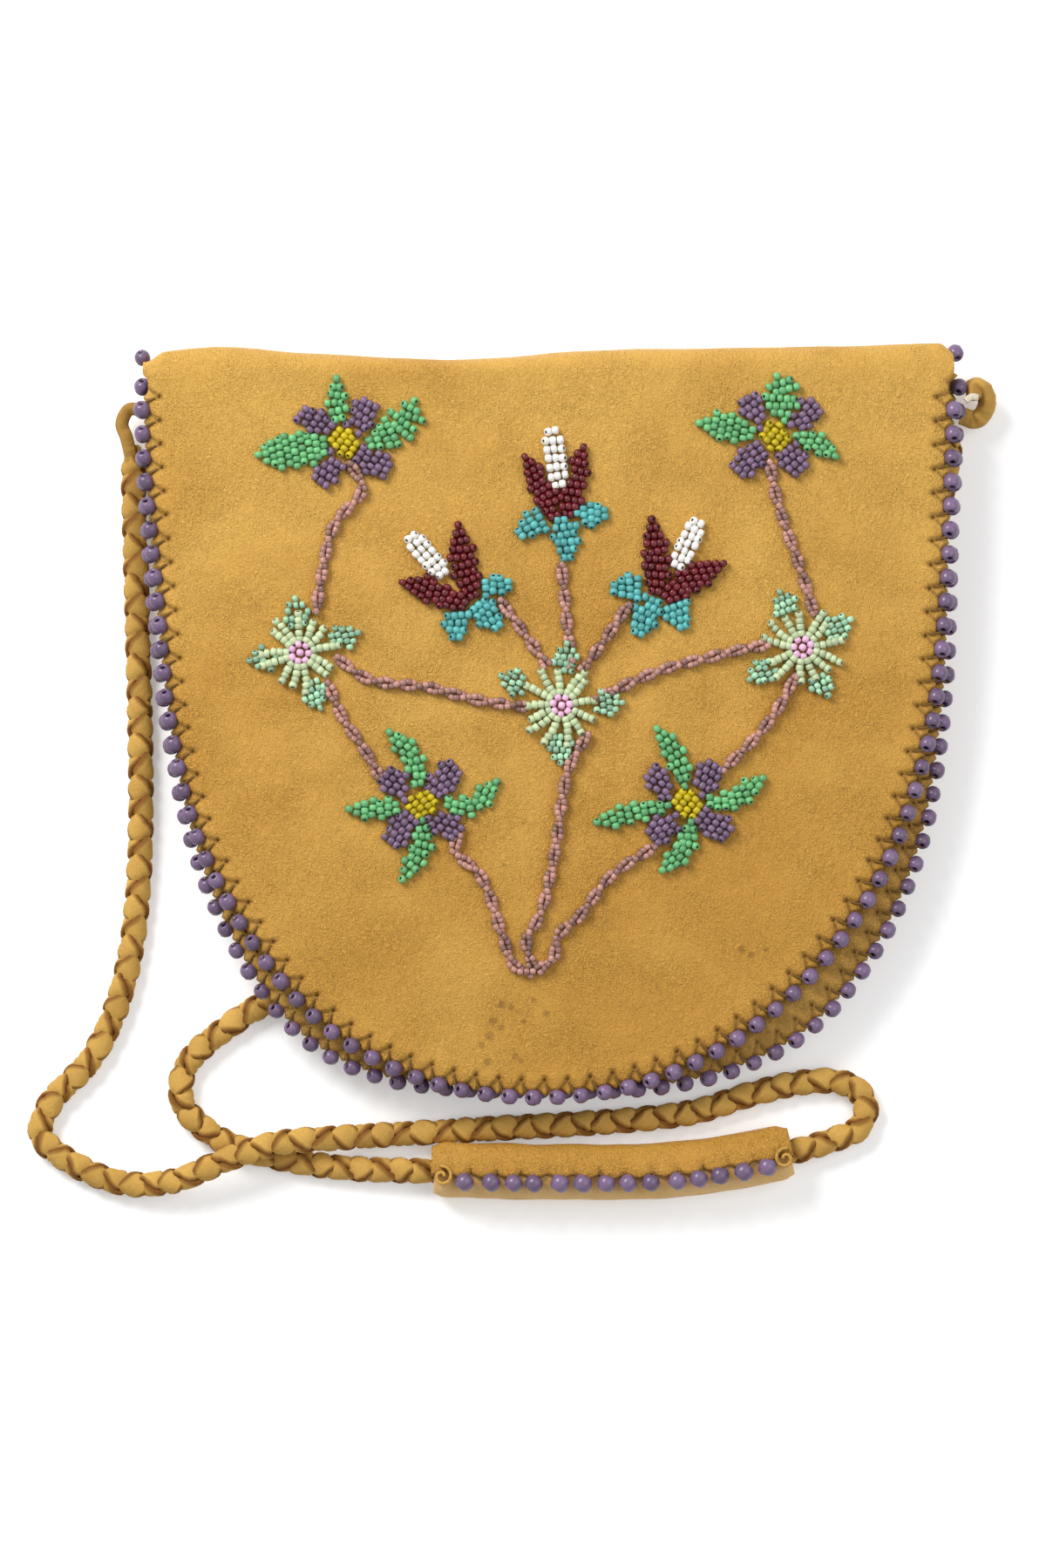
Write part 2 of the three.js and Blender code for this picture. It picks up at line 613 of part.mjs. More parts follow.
function layBeadwork(name, outlines, colour, bevel = BEADWORK_BEVEL) {
  let solid = null;
  for (const outline of outlines) {
    const stretch = relief(outline, SMALL_BEAD * BEADWORK_HEIGHT, bevel);
    solid = solid === null ? stretch : solid.add(stretch);
  }
  const box = new THREE.Box2().setFromPoints(outlines.flatMap(toVectors));
  for (const other of laid) {
    if (other.box.intersectsBox(box)) solid = solid.subtract(prism(other.loop));
  }
  for (const outline of outlines) {
    const loop = grow(toVectors(outline), CLEARANCE);
    laid.push({ loop, box: new THREE.Box2().setFromPoints(loop) });
  }
  addPiece(name, fromSolid(largest(solid)), colour, 0.35, flapGroup);
}

const polar = ([x, y], radius, degrees) => {
  const turn = THREE.MathUtils.degToRad(degrees);
  return [x + radius * Math.cos(turn), y + radius * Math.sin(turn)];
};
const bearing = (from, to) =>
  THREE.MathUtils.radToDeg(Math.atan2(to[1] - from[1], to[0] - from[0]));
const apart = (from, to) => Math.hypot(to[0] - from[0], to[1] - from[1]);

const disc = (centre, radius, sides) =>
  Array.from({ length: sides }, (_, i) => polar(centre, radius, (i * 360) / sides));

// A point part of the way from one point to another, and some way to its left
function beside(from, to, share, left) {
  const length = apart(from, to);
  const [dx, dy] = [(to[0] - from[0]) / length, (to[1] - from[1]) / length];
  const run = share * length;
  return [from[0] + dx * run - dy * left, from[1] + dy * run + dx * left];
}

// A leaf along a bent spine, widest a little past its middle
function leafOutline([root, bend, tip], width) {
  const spine = flatCurve([root, bend, tip]);
  const side = (sign) => LEAF_PROFILE.map(([u, share]) => {
    const p = spine.getPointAt(u).addScaledVector(inward(spine, u), sign * share * width / 2);
    return [p.x, p.y];
  });
  return [...side(1), tip, ...side(-1).reverse()];
}

// One side of a motif between two points, following a profile; sign 1 is on the left
const flank = (from, to, width, profile, sign) =>
  profile.map(([share, wide]) => beside(from, to, share, sign * wide * width / 2));

// A motif between two points, with the same profile on both sides and a point or a flat at its end
const motif = (from, to, width, profile, end = []) => [
  ...flank(from, to, width, profile, -1), ...end, ...flank(from, to, width, profile, 1).reverse(),
];

// Four petals that meet under the centre and spread to a blunt end
function petalsOutline(centre, petals) {
  const around = [...petals].sort((a, b) => bearing(centre, a) - bearing(centre, b));
  const root = FLOWER_CENTRE_RADIUS + CLEARANCE;
  return around.flatMap((petal) => {
    const direction = bearing(centre, petal);
    const end = beside(centre, petal, 1 + PETAL_LENGTH / 2 / apart(centre, petal), 0);
    return [
      polar(centre, root, direction - PETAL_ROOT_ANGLE),
      ...motif(centre, end, PETAL_WIDTH, PETAL_PROFILE, [end]),
      polar(centre, root, direction + PETAL_ROOT_ANGLE),
    ];
  });
}

// The cup of a bud: two pointed arms that part above its foot
function cupOutline(foot, [right, left]) {
  const middle = [(right[0] + left[0]) / 2, (right[1] + left[1]) / 2];
  return [
    ...flank(foot, right, BUD_ARM_WIDTH, ARM_PROFILE, -1),
    right,
    ...flank(foot, right, BUD_ARM_WIDTH, [ARM_INSIDE], 1),
    beside(foot, middle, CROTCH_DEPTH / 2, 0),
    ...flank(foot, left, BUD_ARM_WIDTH, [ARM_INSIDE], -1),
    left,
    ...flank(foot, left, BUD_ARM_WIDTH, ARM_PROFILE, 1).reverse(),
  ];
}

// Three lobes under a cup, joined at its foot
const calyxOutlines = (foot, lobes) => lobes.map(([root, tip]) =>
  motif(beside(foot, root, LOBE_ROOT, 0), tip, BUD_LOBE_WIDTH, LOBE_PROFILE));

// Strings of beads stand out like spokes, with an openwork leaf between some of them.
function rosetteOutline(centre, leaves) {
  const step = 360 / ROSETTE_STRINGS;
  const outline = [];
  const slotOf = (tip) => (Math.round(bearing(centre, tip) / step - 0.5) + ROSETTE_STRINGS) % ROSETTE_STRINGS;
  const tips = leaves.map((tip) => ({ tip, slot: slotOf(tip) }));
  for (let i = 0; i < ROSETTE_STRINGS; i += 1) {
    const direction = i * step;
    const reach = ROSETTE_RADIUS * (1 + ROSETTE_STAGGER * (i % 2 === 0 ? 1 : -1));
    const half = THREE.MathUtils.radToDeg(SMALL_BEAD / 2 / reach);
    outline.push(polar(centre, reach, direction - half), polar(centre, reach, direction + half));
    const leaf = tips.find(({ slot }) => slot === i);
    if (leaf === undefined) {
      outline.push(polar(centre, ROSETTE_RADIUS * ROSETTE_NOTCH, direction + step / 2));
    } else {
      const { tip } = leaf;
      const share = (ROSETTE_RADIUS * ROSETTE_LEAF_ROOT) / apart(centre, tip);
      outline.push(beside(centre, tip, share, -ROSETTE_LEAF_WIDTH / 2));
      outline.push(beside(centre, tip, 1, -SMALL_BEAD / 2), beside(centre, tip, 1, SMALL_BEAD / 2));
      outline.push(beside(centre, tip, share, ROSETTE_LEAF_WIDTH / 2));
    }
  }
  return outline;
}

// Two strands that cross again and again, seen as a chain of lenses
function stemOutline(route) {
  const spine = flatCurve(route);
  const lenses = Math.max(1, Math.round(spine.getLength() / STEM_CROSSING));
  const left = [];
  const right = [];
  for (let i = 0; i <= lenses * 2; i += 1) {
    const u = i / (lenses * 2);
    const half = (i % 2 === 0 ? STEM_WAIST : STEM_WIDTH) / 2;
    const [p, side] = [spine.getPointAt(u), inward(spine, u)];
    left.push([p.x + side.x * half, p.y + side.y * half]);
    right.push([p.x - side.x * half, p.y - side.y * half]);
  }
  return [...left, ...right.reverse()];
}

// A small raised centre that sits on the beadwork under it
function addCentre(name, centre, radius, colour) {
  const seat = SMALL_BEAD * BEADWORK_HEIGHT + CLEARANCE;
  const boss = relief(disc(centre, radius, CENTRE_SIDES), SMALL_BEAD / 2, BEADWORK_BEVEL, seat);
  addPiece(name, fromSolid(boss), colour, 0.35, flapGroup);
}

for (const [name, { centre, petals }] of Object.entries(FLOWERS)) {
  layBeadwork(`${name}_petals`, [petalsOutline(centre, petals)], COLOURS.petal);
  addCentre(`${name}_flower_centre`, centre, FLOWER_CENTRE_RADIUS, COLOURS.yolk);
}
for (const [name, { foot, tips, bar, lobes }] of Object.entries(BUDS)) {
  layBeadwork(`${name}_bud_bar`, [motif(...bar, BUD_BAR_WIDTH, BAR_PROFILE)], COLOURS.white);
  layBeadwork(`${name}_bud_cup`, [cupOutline(foot, tips)], COLOURS.maroon);
  layBeadwork(`${name}_bud_calyx`, calyxOutlines(foot, lobes), COLOURS.turquoise);
}
for (const [name, { centre, leaves }] of Object.entries(ROSETTES)) {
  layBeadwork(`${name}_rosette`, [rosetteOutline(centre, leaves)], COLOURS.paleGreen, 0);
  addCentre(`${name}_rosette_centre`, centre, ROSETTE_CENTRE_RADIUS, COLOURS.pink);
}
for (const [name, { leaves }] of Object.entries(FLOWERS)) {
  for (const [side, { spine, width }] of Object.entries(leaves)) {
    layBeadwork(`${name}_leaf_${side}`, [leafOutline(spine, width)], COLOURS.leaf);
  }
}
for (const [name, routes] of Object.entries(STEMS)) {
  layBeadwork(`${name}_stem`, routes.map(stemOutline), COLOURS.stem, 0);
}

// Strap, with its loop, sleeve, knot and thong

const strapCurve = new THREE.CatmullRomCurve3(STRAP_ROUTE.map((p) => new THREE.Vector3(...p)));
const strapSteps = Math.round(strapCurve.getLength() / STRAP_STEP);
const strap = sweptTube(STRAP_ROUTE, STRAP_RADIUS, STRAP_SIDES, strapSteps);
const loop = sweptTube(LOOP_ROUTE, LOOP_RADIUS, LACE_SIDES, LACE_STEPS);
const knot = sweptTube(KNOT_ROUTE, KNOT_LACE_RADIUS, STRAP_SIDES, LACE_STEPS);
const thong = sweptTube(THONG_ROUTE, THONG_RADIUS, LACE_SIDES, THONG_STEPS);
addPiece('strap', strap, COLOURS.suede, 0.75);
addPiece('strap_loop', loop, COLOURS.suede, 0.75);
addPiece('strap_knot', knot, COLOURS.suede, 0.7);
addPiece('knot_thong', thong, COLOURS.thong, 0.8);

// The stretch of the strap inside its sleeve, as even shares of the whole route
function sleeveStations(count) {
  const samples = strapCurve.getSpacedPoints(ROUTE_SAMPLES);
  const nearest = ([x, y]) => samples.reduce((best, p, i) => {
    const gap = Math.hypot(p.x - x, p.y - y);
    return gap < best.gap ? { gap, share: i / ROUTE_SAMPLES } : best;
  }, { gap: Infinity, share: 0 }).share;
  const [start, end] = [nearest(SLEEVE_STARTS), nearest(SLEEVE_ENDS)];
  return Array.from({ length: count }, (_, i) => {
    const u = start + (end - start) * (i / (count - 1));
    const along = strapCurve.getTangentAt(u).setZ(0).normalize();
    const middle = strapCurve.getPointAt(u).setZ(SLEEVE_LIE);
    return { middle, side: new THREE.Vector3(-along.y, along.x, 0) };
  });
}

// A flattened leather sleeve, open at both ends, with the strap running through it
function sleeve() {
  const sides = SLEEVE_SIDES;
  const ring = ({ middle, side }, inset) => Array.from({ length: sides }, (_, i) => {
    const turn = (i / sides) * 2 * Math.PI;
    return middle.clone()
      .addScaledVector(side, (SLEEVE_HALF_WIDTH - inset) * Math.cos(turn))
      .add(new THREE.Vector3(0, 0, (SLEEVE_HALF_HEIGHT - inset) * Math.sin(turn)));
  });
  const stations = sleeveStations(SLEEVE_RINGS);
  const rings = [
    ...stations.map((station) => ring(station, 0)),
    ...[...stations].reverse().map((station) => ring(station, LEATHER)),
  ];
  const points = rings.flat();
  const triangles = [];
  for (let r = 0; r < rings.length; r += 1) {
    const next = (r + 1) % rings.length;
    for (let i = 0; i < sides; i += 1) {
      const j = (i + 1) % sides;
      const [a, b, c, d] = [r * sides + i, r * sides + j, next * sides + j, next * sides + i];
      triangles.push([a, b, c], [a, c, d]);
    }
  }
  return closedGeometry(points, triangles);
}

addPiece('shoulder_pad', sleeve(), COLOURS.leather, 0.7);

// The sleeve's seam carries a row of beads on its upper face.
function sleeveBeads() {
  const across = SLEEVE_SEAM_OFFSET / SLEEVE_HALF_WIDTH;
  const top = SLEEVE_HALF_HEIGHT * Math.sqrt(1 - across * across);
  const stations = sleeveStations(SLEEVE_BEADS * 2 + 1).filter((_, i) => i % 2 === 1);
  return stations.map(({ middle, side }) => {
    const place = middle.clone().addScaledVector(side, SLEEVE_SEAM_OFFSET);
    return place.add(new THREE.Vector3(0, 0, top + CLEARANCE + BEAD_RADIUS));
  });
}

addPiece('pad_beads', beadString(sleeveBeads()), COLOURS.edgeBead, 0.4);

export default bag;
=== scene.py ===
"""Looks of a beaded leather shoulder bag that lies on its back. Lengths in the code are millimetres."""

import bisect
import math
import random

import bmesh
import bpy
from mathutils import Matrix, Vector, noise
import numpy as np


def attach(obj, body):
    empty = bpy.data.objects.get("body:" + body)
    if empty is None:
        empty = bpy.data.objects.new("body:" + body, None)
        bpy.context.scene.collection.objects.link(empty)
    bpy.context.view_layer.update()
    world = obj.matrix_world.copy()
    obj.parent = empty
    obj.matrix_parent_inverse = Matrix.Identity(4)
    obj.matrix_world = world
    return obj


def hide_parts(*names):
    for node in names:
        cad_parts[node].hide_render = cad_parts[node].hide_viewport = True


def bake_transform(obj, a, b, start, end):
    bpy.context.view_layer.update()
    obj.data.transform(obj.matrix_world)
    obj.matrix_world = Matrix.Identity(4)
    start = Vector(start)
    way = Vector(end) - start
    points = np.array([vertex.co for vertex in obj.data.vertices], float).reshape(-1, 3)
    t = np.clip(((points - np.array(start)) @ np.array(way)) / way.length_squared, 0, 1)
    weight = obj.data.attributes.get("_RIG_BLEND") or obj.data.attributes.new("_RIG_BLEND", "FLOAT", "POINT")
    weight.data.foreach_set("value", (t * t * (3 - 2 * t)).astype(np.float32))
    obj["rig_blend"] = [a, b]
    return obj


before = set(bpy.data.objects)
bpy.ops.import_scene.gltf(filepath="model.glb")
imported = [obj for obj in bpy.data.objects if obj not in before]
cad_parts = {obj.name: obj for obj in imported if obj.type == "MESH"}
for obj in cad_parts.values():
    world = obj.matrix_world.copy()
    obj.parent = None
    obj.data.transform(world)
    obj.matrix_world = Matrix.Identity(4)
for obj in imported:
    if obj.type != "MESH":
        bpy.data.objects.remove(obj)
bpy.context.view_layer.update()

bl_info = {
    "name": "Beaded shoulder bag",
    "version": (1, 0, 0),
    "blender": (4, 5, 0),
    "location": "View3D > Sidebar > Bag",
    "description": "Leather, beadwork and braided strap of a shoulder bag",
    "category": "Object",
}

MM = 0.001
UP = Vector((0, 0, 1))
# Corners of a mesh that are nearer than this become one
WELD = 1e-4

# The camera, straight above: its place in metres, and its lens
CAMERA_PLACE = (-0.0070, -0.0146, 1.510)
CAMERA_LENS = 142.9

# The pouch: its fold, the heights between which the fold bends as the flap opens, the height of the
# seam, and how far the panels bulge
HINGE_Y = 84.0
FOLD_Y = 89.0
FOLD_BENDS = (3.0, 11.0)
SEAM_LIFT = 8.0
LEATHER = 1.2
CLEARANCE = 0.3
FLAP_LIFT = 2.35
FRONT_BULGE = 5.5
FLAP_BULGE = 4.2
# The mouth: its height at the ends of a line this long, and four times its sag in the middle
MOUTH_Y = 69
MOUTH_SPAN = 240
MOUTH_SAG = 20
BODY_RIM = [
    (-98.7, 84), (-98.6, 66), (-96.3, 32), (-92.4, -2), (-85.8, -32), (-74.2, -58),
    (-59.5, -76.3), (-39.6, -85.9), (-5, -88.6), (35, -86.2), (60.5, -75.2), (77.5, -55.6),
    (88.7, -30.7), (94.6, 4.8), (96.4, 50), (98.3, 84),
]
FLAP_RIM = [
    (-98.8, 84), (-98.3, 65), (-95.2, 31.7), (-91.5, -2.7), (-84.5, -29.5), (-68, -58.4),
    (-51.3, -75.4), (-29, -86.4), (-4.5, -90), (19.6, -87.2), (42.5, -77.1), (62.5, -60.3),
    (79.5, -36), (90.3, -5), (94.6, 28), (96.5, 72), (97, 84),
]
FOLD_EDGE = [(-96, 89.4), (-80, 90.8), (-52, 88.8), (-22, 87.7), (10, 90.0), (45, 90.6), (96, 91.6)]
CORNER_BEADS = [(-98.8, 88.2, 8.0), (97.3, 89.4, 8.0)]

# Beadwork: distance between two rows of a leaf or a lobe, and between two beads across a leaf
ROW_PITCH = 1.85
BEAD_SPREAD = 1.55
# Flower middles, petal middles, and each leaf's spine and width
FLOWERS = {
    "upper_left": ((-49.9, 67.4), [(-57.2, 72.2), (-45.7, 73.7), (-53.7, 61.1), (-42.7, 62.6)], {
        "left": ([(-53, 66.8), (-61.4, 65.5), (-70.5, 64.4)], 7.8),
        "top": ([(-50.9, 71.2), (-51.8, 76.4), (-51.8, 82.6)], 5.2),
        "right": ([(-43.6, 67.2), (-37.1, 70.6), (-33, 77.3)], 7.4)}),
    "upper_right": ((53.4, 68.7), [(49, 75), (60.4, 73.9), (47.1, 63), (57.4, 63.6)], {
        "top": ([(54.9, 72.5), (54.9, 79.6), (53.9, 83.2)], 7.4),
        "right": ([(58.5, 68.9), (63.9, 67.2), (67.9, 64)], 4.8),
        "left": ([(49.5, 69.1), (42.3, 71), (35.4, 72)], 6.4)}),
    "lower_left": ((-31.2, -19.5), [(-37.1, -14.7), (-25.7, -13.4), (-36.4, -25.6), (-25.7, -24.1)], {
        "top": ([(-31.6, -16.2), (-33.3, -8.2), (-39, -2.3)], 5.2),
        "right": ([(-26.8, -19.1), (-19.6, -19.9), (-13.3, -14.1)], 5.2),
        "bottom": ([(-31.2, -23.3), (-31, -29.4), (-36, -37.4)], 5.2),
        "left": ([(-35.6, -20.2), (-42.1, -20.6), (-48.6, -20.6)], 5.2)}),
    "lower_right": ((32.4, -19.3), [(26.4, -14.1), (36.9, -13.2), (26.8, -24.8), (39, -24.4)], {
        "top": ([(31.8, -15.1), (29.9, -8.4), (25.1, -1.5)], 5.2),
        "right": ([(36, -19.1), (43.4, -18.3), (50.5, -13.2)], 5.2),
        "bottom": ([(33.3, -23.7), (32, -29.8), (26.4, -35.3)], 5.2),
        "left": ([(27.8, -19.7), (19.6, -21.4), (10.8, -23.7)], 5.2)}),
}
# Buds: foot of the cup, its two tips, the ends of the white bar, and three lobes under the cup
BUDS = {
    "middle": ((2.2, 49.6), [(7.7, 66.8), (-6.8, 64.3)], [(1.8, 56.1), (-0.3, 71)],
               [[(-1.1, 50.2), (-8.3, 44.9)], [(2.8, 49), (3.7, 38.9)], [(5.8, 50.2), (13.3, 50.2)]]),
    "left": ((-20.1, 29.4), [(-22.6, 48.2), (-36.5, 33.9)], [(-25.7, 35.1), (-34.4, 45.3)],
             [[(-23, 27.6), (-23, 19.8)], [(-17.7, 28.4), (-12.7, 22.6)], [(-18, 32.5), (-9.7, 33.2)]]),
    "right": ((26.1, 30.9), [(41.6, 38.6), (23.8, 49.5)], [(29.7, 36.9), (35.3, 49)],
              [[(22.5, 32.8), (14, 32.3)], [(23.9, 29.7), (20.3, 20.8)], [(28.7, 29.7), (31.6, 22.4)]]),
}
# Rosettes: middle, and the tips of the four openwork leaves
ROSETTES = {
    "left": ((-60.4, 16.8), [(-61.7, 30.2), (-46.3, 21.8), (-72.8, 15), (-55.6, 3.4)]),
    "middle": ((2.2, 4.2), [(-12.5, 11.5), (3.5, 19.3), (17.1, 5), (2, -9.9)]),
    "right": ((60, 18.1), [(54.3, 31.7), (71.7, 25), (47, 10.3), (66.2, 6.5)]),
}
# Rings of a rosette's pink middle: radius, count and lift; its strings: count, start and bead distance
PINK_RINGS = [(2.1, 7, 0.4), (0.0, 1, 0.9)]
ROSETTE_STRINGS = 13
STRING_START = 3.4
STRING_PITCH = 1.5
# Stems: the routes of their twisted strings
STEMS = {
    "upper_left": [[(-48.8, 62.6), (-45.5, 56.1), (-52.4, 47.2), (-56.8, 25.8)]],
    "upper_right": [[(52, 63), (54.1, 52.7), (59.1, 38.2), (63.1, 25.2)]],
    "middle_bud": [[(2.2, 38.3), (4.7, 12)]],
    "left_bud": [[(-12.7, 29.8), (-0.5, 12.8)]],
    "right_bud": [[(18.6, 28.6), (6.8, 11.8)]],
    "left_link": [[(-52, 16), (-44, 10.5), (-29.5, 8.6), (-19.6, 5.9), (-5.4, 3.6)]],
    "right_link": [[(10, 5.6), (25.3, 12.4), (39.4, 16.2), (52.4, 19.1)]],
    "lower_left": [[(-54, 10), (-50.1, 1.1), (-45.9, -5), (-41, -13.4)]],
    "lower_right": [[(58.5, 11.5), (53.9, 3.1), (48, -4.2), (40.6, -11.5)]],
    "foot": [
        [(8.7, -2.3), (3.9, -11.3), (0.3, -32.5), (-3, -46.2), (-6.2, -52.1), (-4.4, -59.2)],
        [(-22, -26.5), (-23.4, -30.7), (-17.3, -36.3), (-12.1, -50.4), (-9.3, -58), (-4.2, -60.4)],
        [(24.9, -29.4), (14, -36.8), (6.6, -46.2), (1.4, -51), (0.3, -56.3), (-4.4, -59.8)]],
}
# Length over which the two strings of a stem go half round each other
STEM_TWIST = 5.6
# Small dark spots on the flap: place and radius
STAINS = [
    (-12.1, -67.6, 1.1), (-9.8, -68.3, 0.8), (-14.2, -71.6, 1.2), (-12.3, -73.1, 0.9), (-15.0, -75.2, 1.3),
    (-16.9, -77.3, 1.0), (-4.5, -66.4, 0.8), (-1.4, -69.7, 0.9), (-6.8, -71.6, 0.8), (-8.9, -80.0, 0.9),
    (-7.5, -81.1, 0.8), (-15.6, -81.3, 1.0), (45.5, -54.4, 1.0), (47.8, -55.7, 0.9), (51.3, -54.4, 0.7),
    (-11.5, -34.0, 0.6), (-22.0, -20.5, 0.5), (-7.0, -24.0, 0.5),
]

# Strap route, as in the solids; its height is brought down to a flat braid's by strap_height
STRAP_ROUTE = [
    (-101.4, 67.5, 3.2), (-100.2, -40, 3.2), (-104.6, -66, 3.2), (-111.5, -81, 3.2), (-121.5, -92, 3.2),
    (-123.8, -99.5, 3.2), (-117.5, -105.6, 3.3), (-104, -111.2, 4.2), (-91.5, -110.6, 7.0),
    (-79, -105.5, 9.75), (-67, -101.5, 9.75), (-52, -100.2, 6.9), (-38, -99.4, 4.1), (-22, -98.5, 3.3),
    (33, -94.3, 3.2), (48, -89.8, 3.2), (60, -87.0, 3.2), (69.2, -86.7, 3.2), (74.2, -88.9, 3.2),
    (76.1, -93.5, 3.4), (74.0, -98.1, 3.8), (69.0, -100.4, 4.2), (57.5, -103.8, 4.8), (30, -108.3, 4.8),
    (0, -108.9, 4.8), (-28.5, -108.3, 4.8), (-50, -107.6, 3.6), (-67, -105, 3.3), (-80.5, -100.6, 3.2),
    (-89.3, -92.2, 3.2), (-88.8, -83.4, 3.2), (-79.5, -74.2, 3.2), (-66, -67.2, 3.2), (-40, -75.5, 3.2),
    (-5, -81.3, 3.2), (35, -78.4, 3.2), (65.5, -60.5, 3.2), (84, -24, 3.2), (90.2, 30, 3.2),
    (97.2, 71.5, 3.2),
]
# The lowest height of that route, and of the flat braid, and the steps of the braid's own path
ROUTE_LOW = 3.2
BRAID_LOW = 2.25
STRAP_STEPS = 239
# The shoulder sleeve: its two ends, and the height of its middle line
SLEEVE_STARTS = Vector((57.2, -103.9, 0))
SLEEVE_ENDS = Vector((-28.8, -108.3, 0))
SLEEVE_LIE = 4.8
# Its two layers: half width and half height of each, the radius and the turn of the seam, and its beads
SLEEVE_CORE = (6.15, 4.45)
SLEEVE_LAP = (6.65, 4.95)
SLEEVE_SEAM = 6.6
SEAM_TURN = 1.28
SLEEVE_BEADS = 14
# Degrees round the sleeve where the outer layer ends, and how far it passes the inner one at each end
LAP_ENDS = 245
LAP_PAST = 0.6
# The lace loop at the strap's left end, and the knot and thong at its right end
LOOP_FOOT = (-101.6, 63.0, 3.0)
LOOP_ROUTE = [
    (-102.9, 69.1, 4.3), (-104.0, 72.6, 4.7), (-102.1, 76.0, 5.0), (-98.6, 75.4, 5.2), (-95.4, 74.8, 5.9),
]
KNOT_ROUTE = [
    (99.0, 74.6, 3.2), (102.6, 73.6, 3.6), (105.0, 76.6, 5.4), (104.2, 80.8, 7.2), (101.6, 81.6, 7.9),
    (101.9, 78.4, 8.6),
]
THONG_ROUTE = [(99.5, 77.6, 12.1), (101.0, 78.6, 11.9), (102.6, 78.4, 11.6)]


def paint(code):
    """A colour as painters write it, turned into the linear numbers of light."""
    parts = [int(code[i:i + 2], 16) / 255 for i in (1, 3, 5)]
    return tuple(c / 12.92 if c <= 0.04045 else ((c + 0.055) / 1.055) ** 2.4 for c in parts)


def colour(label, about, code):
    return bpy.props.FloatVectorProperty(
        name=label, description=about, subtype="COLOR", size=3, min=0, max=1, default=paint(code))


def length(label, about, millimetres):
    return bpy.props.FloatProperty(
        name=label, description=about, unit="LENGTH", precision=4, min=0.0001, default=millimetres * MM)


class BagLeather(bpy.types.PropertyGroup):
    # Painted light and shade: the flap is painted lighter near its fold and darker towards its lower edge,
    # and the pouch's panels are painted darker still towards the bottom
    light: colour("Light leather", "Colour of the flap near its fold", "#deac50")
    deep: colour("Deep leather", "Colour of the flap near its lower edge", "#ce983f")
    shaded: colour("Inner leather", "Colour of the pouch's own panels", "#b98c40")
    # Dark colour of the stains and pores, also used as painted shade in the stitch holes, in the creases and
    # along the stitched edges
    crease: colour("Crease", "Colour in stitch holes and creases", "#6a4519")
    groove: length("Groove depth", "How deep each stitch pulls into the leather", 0.85)


class BagEdge(bpy.types.PropertyGroup):
    bead: length("Bead diameter", "Diameter of the beads on the seams", 4.0)
    pitch: length("Stitch pitch", "Distance between two stitches", 5.8)
    glass: colour("Edge bead", "Colour of the beads on the seams", "#755f7e")
    thread: colour("Thread", "Colour of the sewing thread", "#77592a")


class BagBeadwork(bpy.types.PropertyGroup):
    bead: length("Bead diameter", "Diameter of the beads of the flowers", 2.12)
    stem_bead: length("Stem bead diameter", "Diameter of the beads of the stems", 1.5)
    petal: colour("Petal", "Colour of the flowers' petals", "#785f7a")
    yolk: colour("Flower middle", "Colour of the flowers' middles", "#c6b00a")
    leaf: colour("Leaf", "Colour of the flowers' leaves", "#6cb578")
    maroon: colour("Cup", "Colour of the buds' cups", "#63121d")
    white: colour("Bar", "Colour of the buds' bars", "#faf6f1")
    turquoise: colour("Calyx", "Colour of the lobes under the buds", "#5ab0ae")
    pale: colour("Rosette", "Colour of the rosettes' strings", "#c9d8ac")
    sea: colour("Openwork leaf", "Colour of the rosettes' openwork leaves", "#9ac4a4")
    pink: colour("Rosette middle", "Colour of the rosettes' middles", "#f2bfdf")
    stem: colour("Stem", "Colour of the twisted stems", "#a0766c")


class BagStrap(bpy.types.PropertyGroup):
    strand: length("Strand width", "Width of each of the four leather strands", 4.4)
    repeat: length("Braid repeat", "Length over which a strand goes once round the braid", 19.5)
    face: colour("Strand face", "Colour of the strands' smooth faces", "#d8ab56")
    edge: colour("Strand edge", "Colour of the strands' rough edges", "#7f511d")
    suede: colour("Suede", "Colour of the rough side of the sleeve", "#efc88c")


class BagStage(bpy.types.PropertyGroup):
    floor: colour("Floor", "Colour of the floor", "#f8f8f8")
    lamp: bpy.props.FloatProperty(
        name="Lamp", description="Power of the main lamp", unit="POWER", min=0, default=23.0)


# Smooth lines

class Route:
    """A smooth line through given points, measured along its length."""

    def __init__(self, points, steps=24):
        given = [Vector((*p, 0.0)[:3]) for p in points]
        given = [2 * given[0] - given[1], *given, 2 * given[-1] - given[-2]]
        self.line = []
        for a, b, c, d in zip(given, given[1:], given[2:], given[3:]):
            before, here, after = ((q - p).length ** 0.5 for p, q in ((a, b), (b, c), (c, d)))
            leave = ((b - a) / before - (c - a) / (before + here) + (c - b) / here) * here
            arrive = ((c - b) / here - (d - b) / (here + after) + (d - c) / after) * here
            for i in range(steps):
                t = i / steps
                bend = (3 * (c - b) - 2 * leave - arrive) * t ** 2
                self.line.append(b + leave * t + bend + (2 * (b - c) + leave + arrive) * t ** 3)
        self.line.append(given[-2])
        self.gone = [0.0]
        for a, b in zip(self.line, self.line[1:]):
            self.gone.append(self.gone[-1] + (b - a).length)
        self.length = self.gone[-1]
        ahead = [*self.line[1:], self.line[-1]]
        behind = [self.line[0], *self.line[:-1]]
        self.ways = [(b - a).normalized() for a, b in zip(behind, ahead)]

    def at(self, run):
        """The point at a distance from the start, and the direction there."""
        run = min(max(run, 0.0), self.length)
        i = min(max(bisect.bisect_right(self.gone, run), 1), len(self.line) - 1)
        t = (run - self.gone[i - 1]) / (self.gone[i] - self.gone[i - 1])
        return self.line[i - 1].lerp(self.line[i], t), self.ways[i - 1].lerp(self.ways[i], t).normalized()

    def nearest(self, point):
        """Distance from the start to the place nearest a point, seen from above."""
        gaps = [(p.xy - point.xy).length for p in self.line]
        return self.gone[gaps.index(min(gaps))]


def leftwards(way):
    return Vector((-way.y, way.x, 0)).normalized()


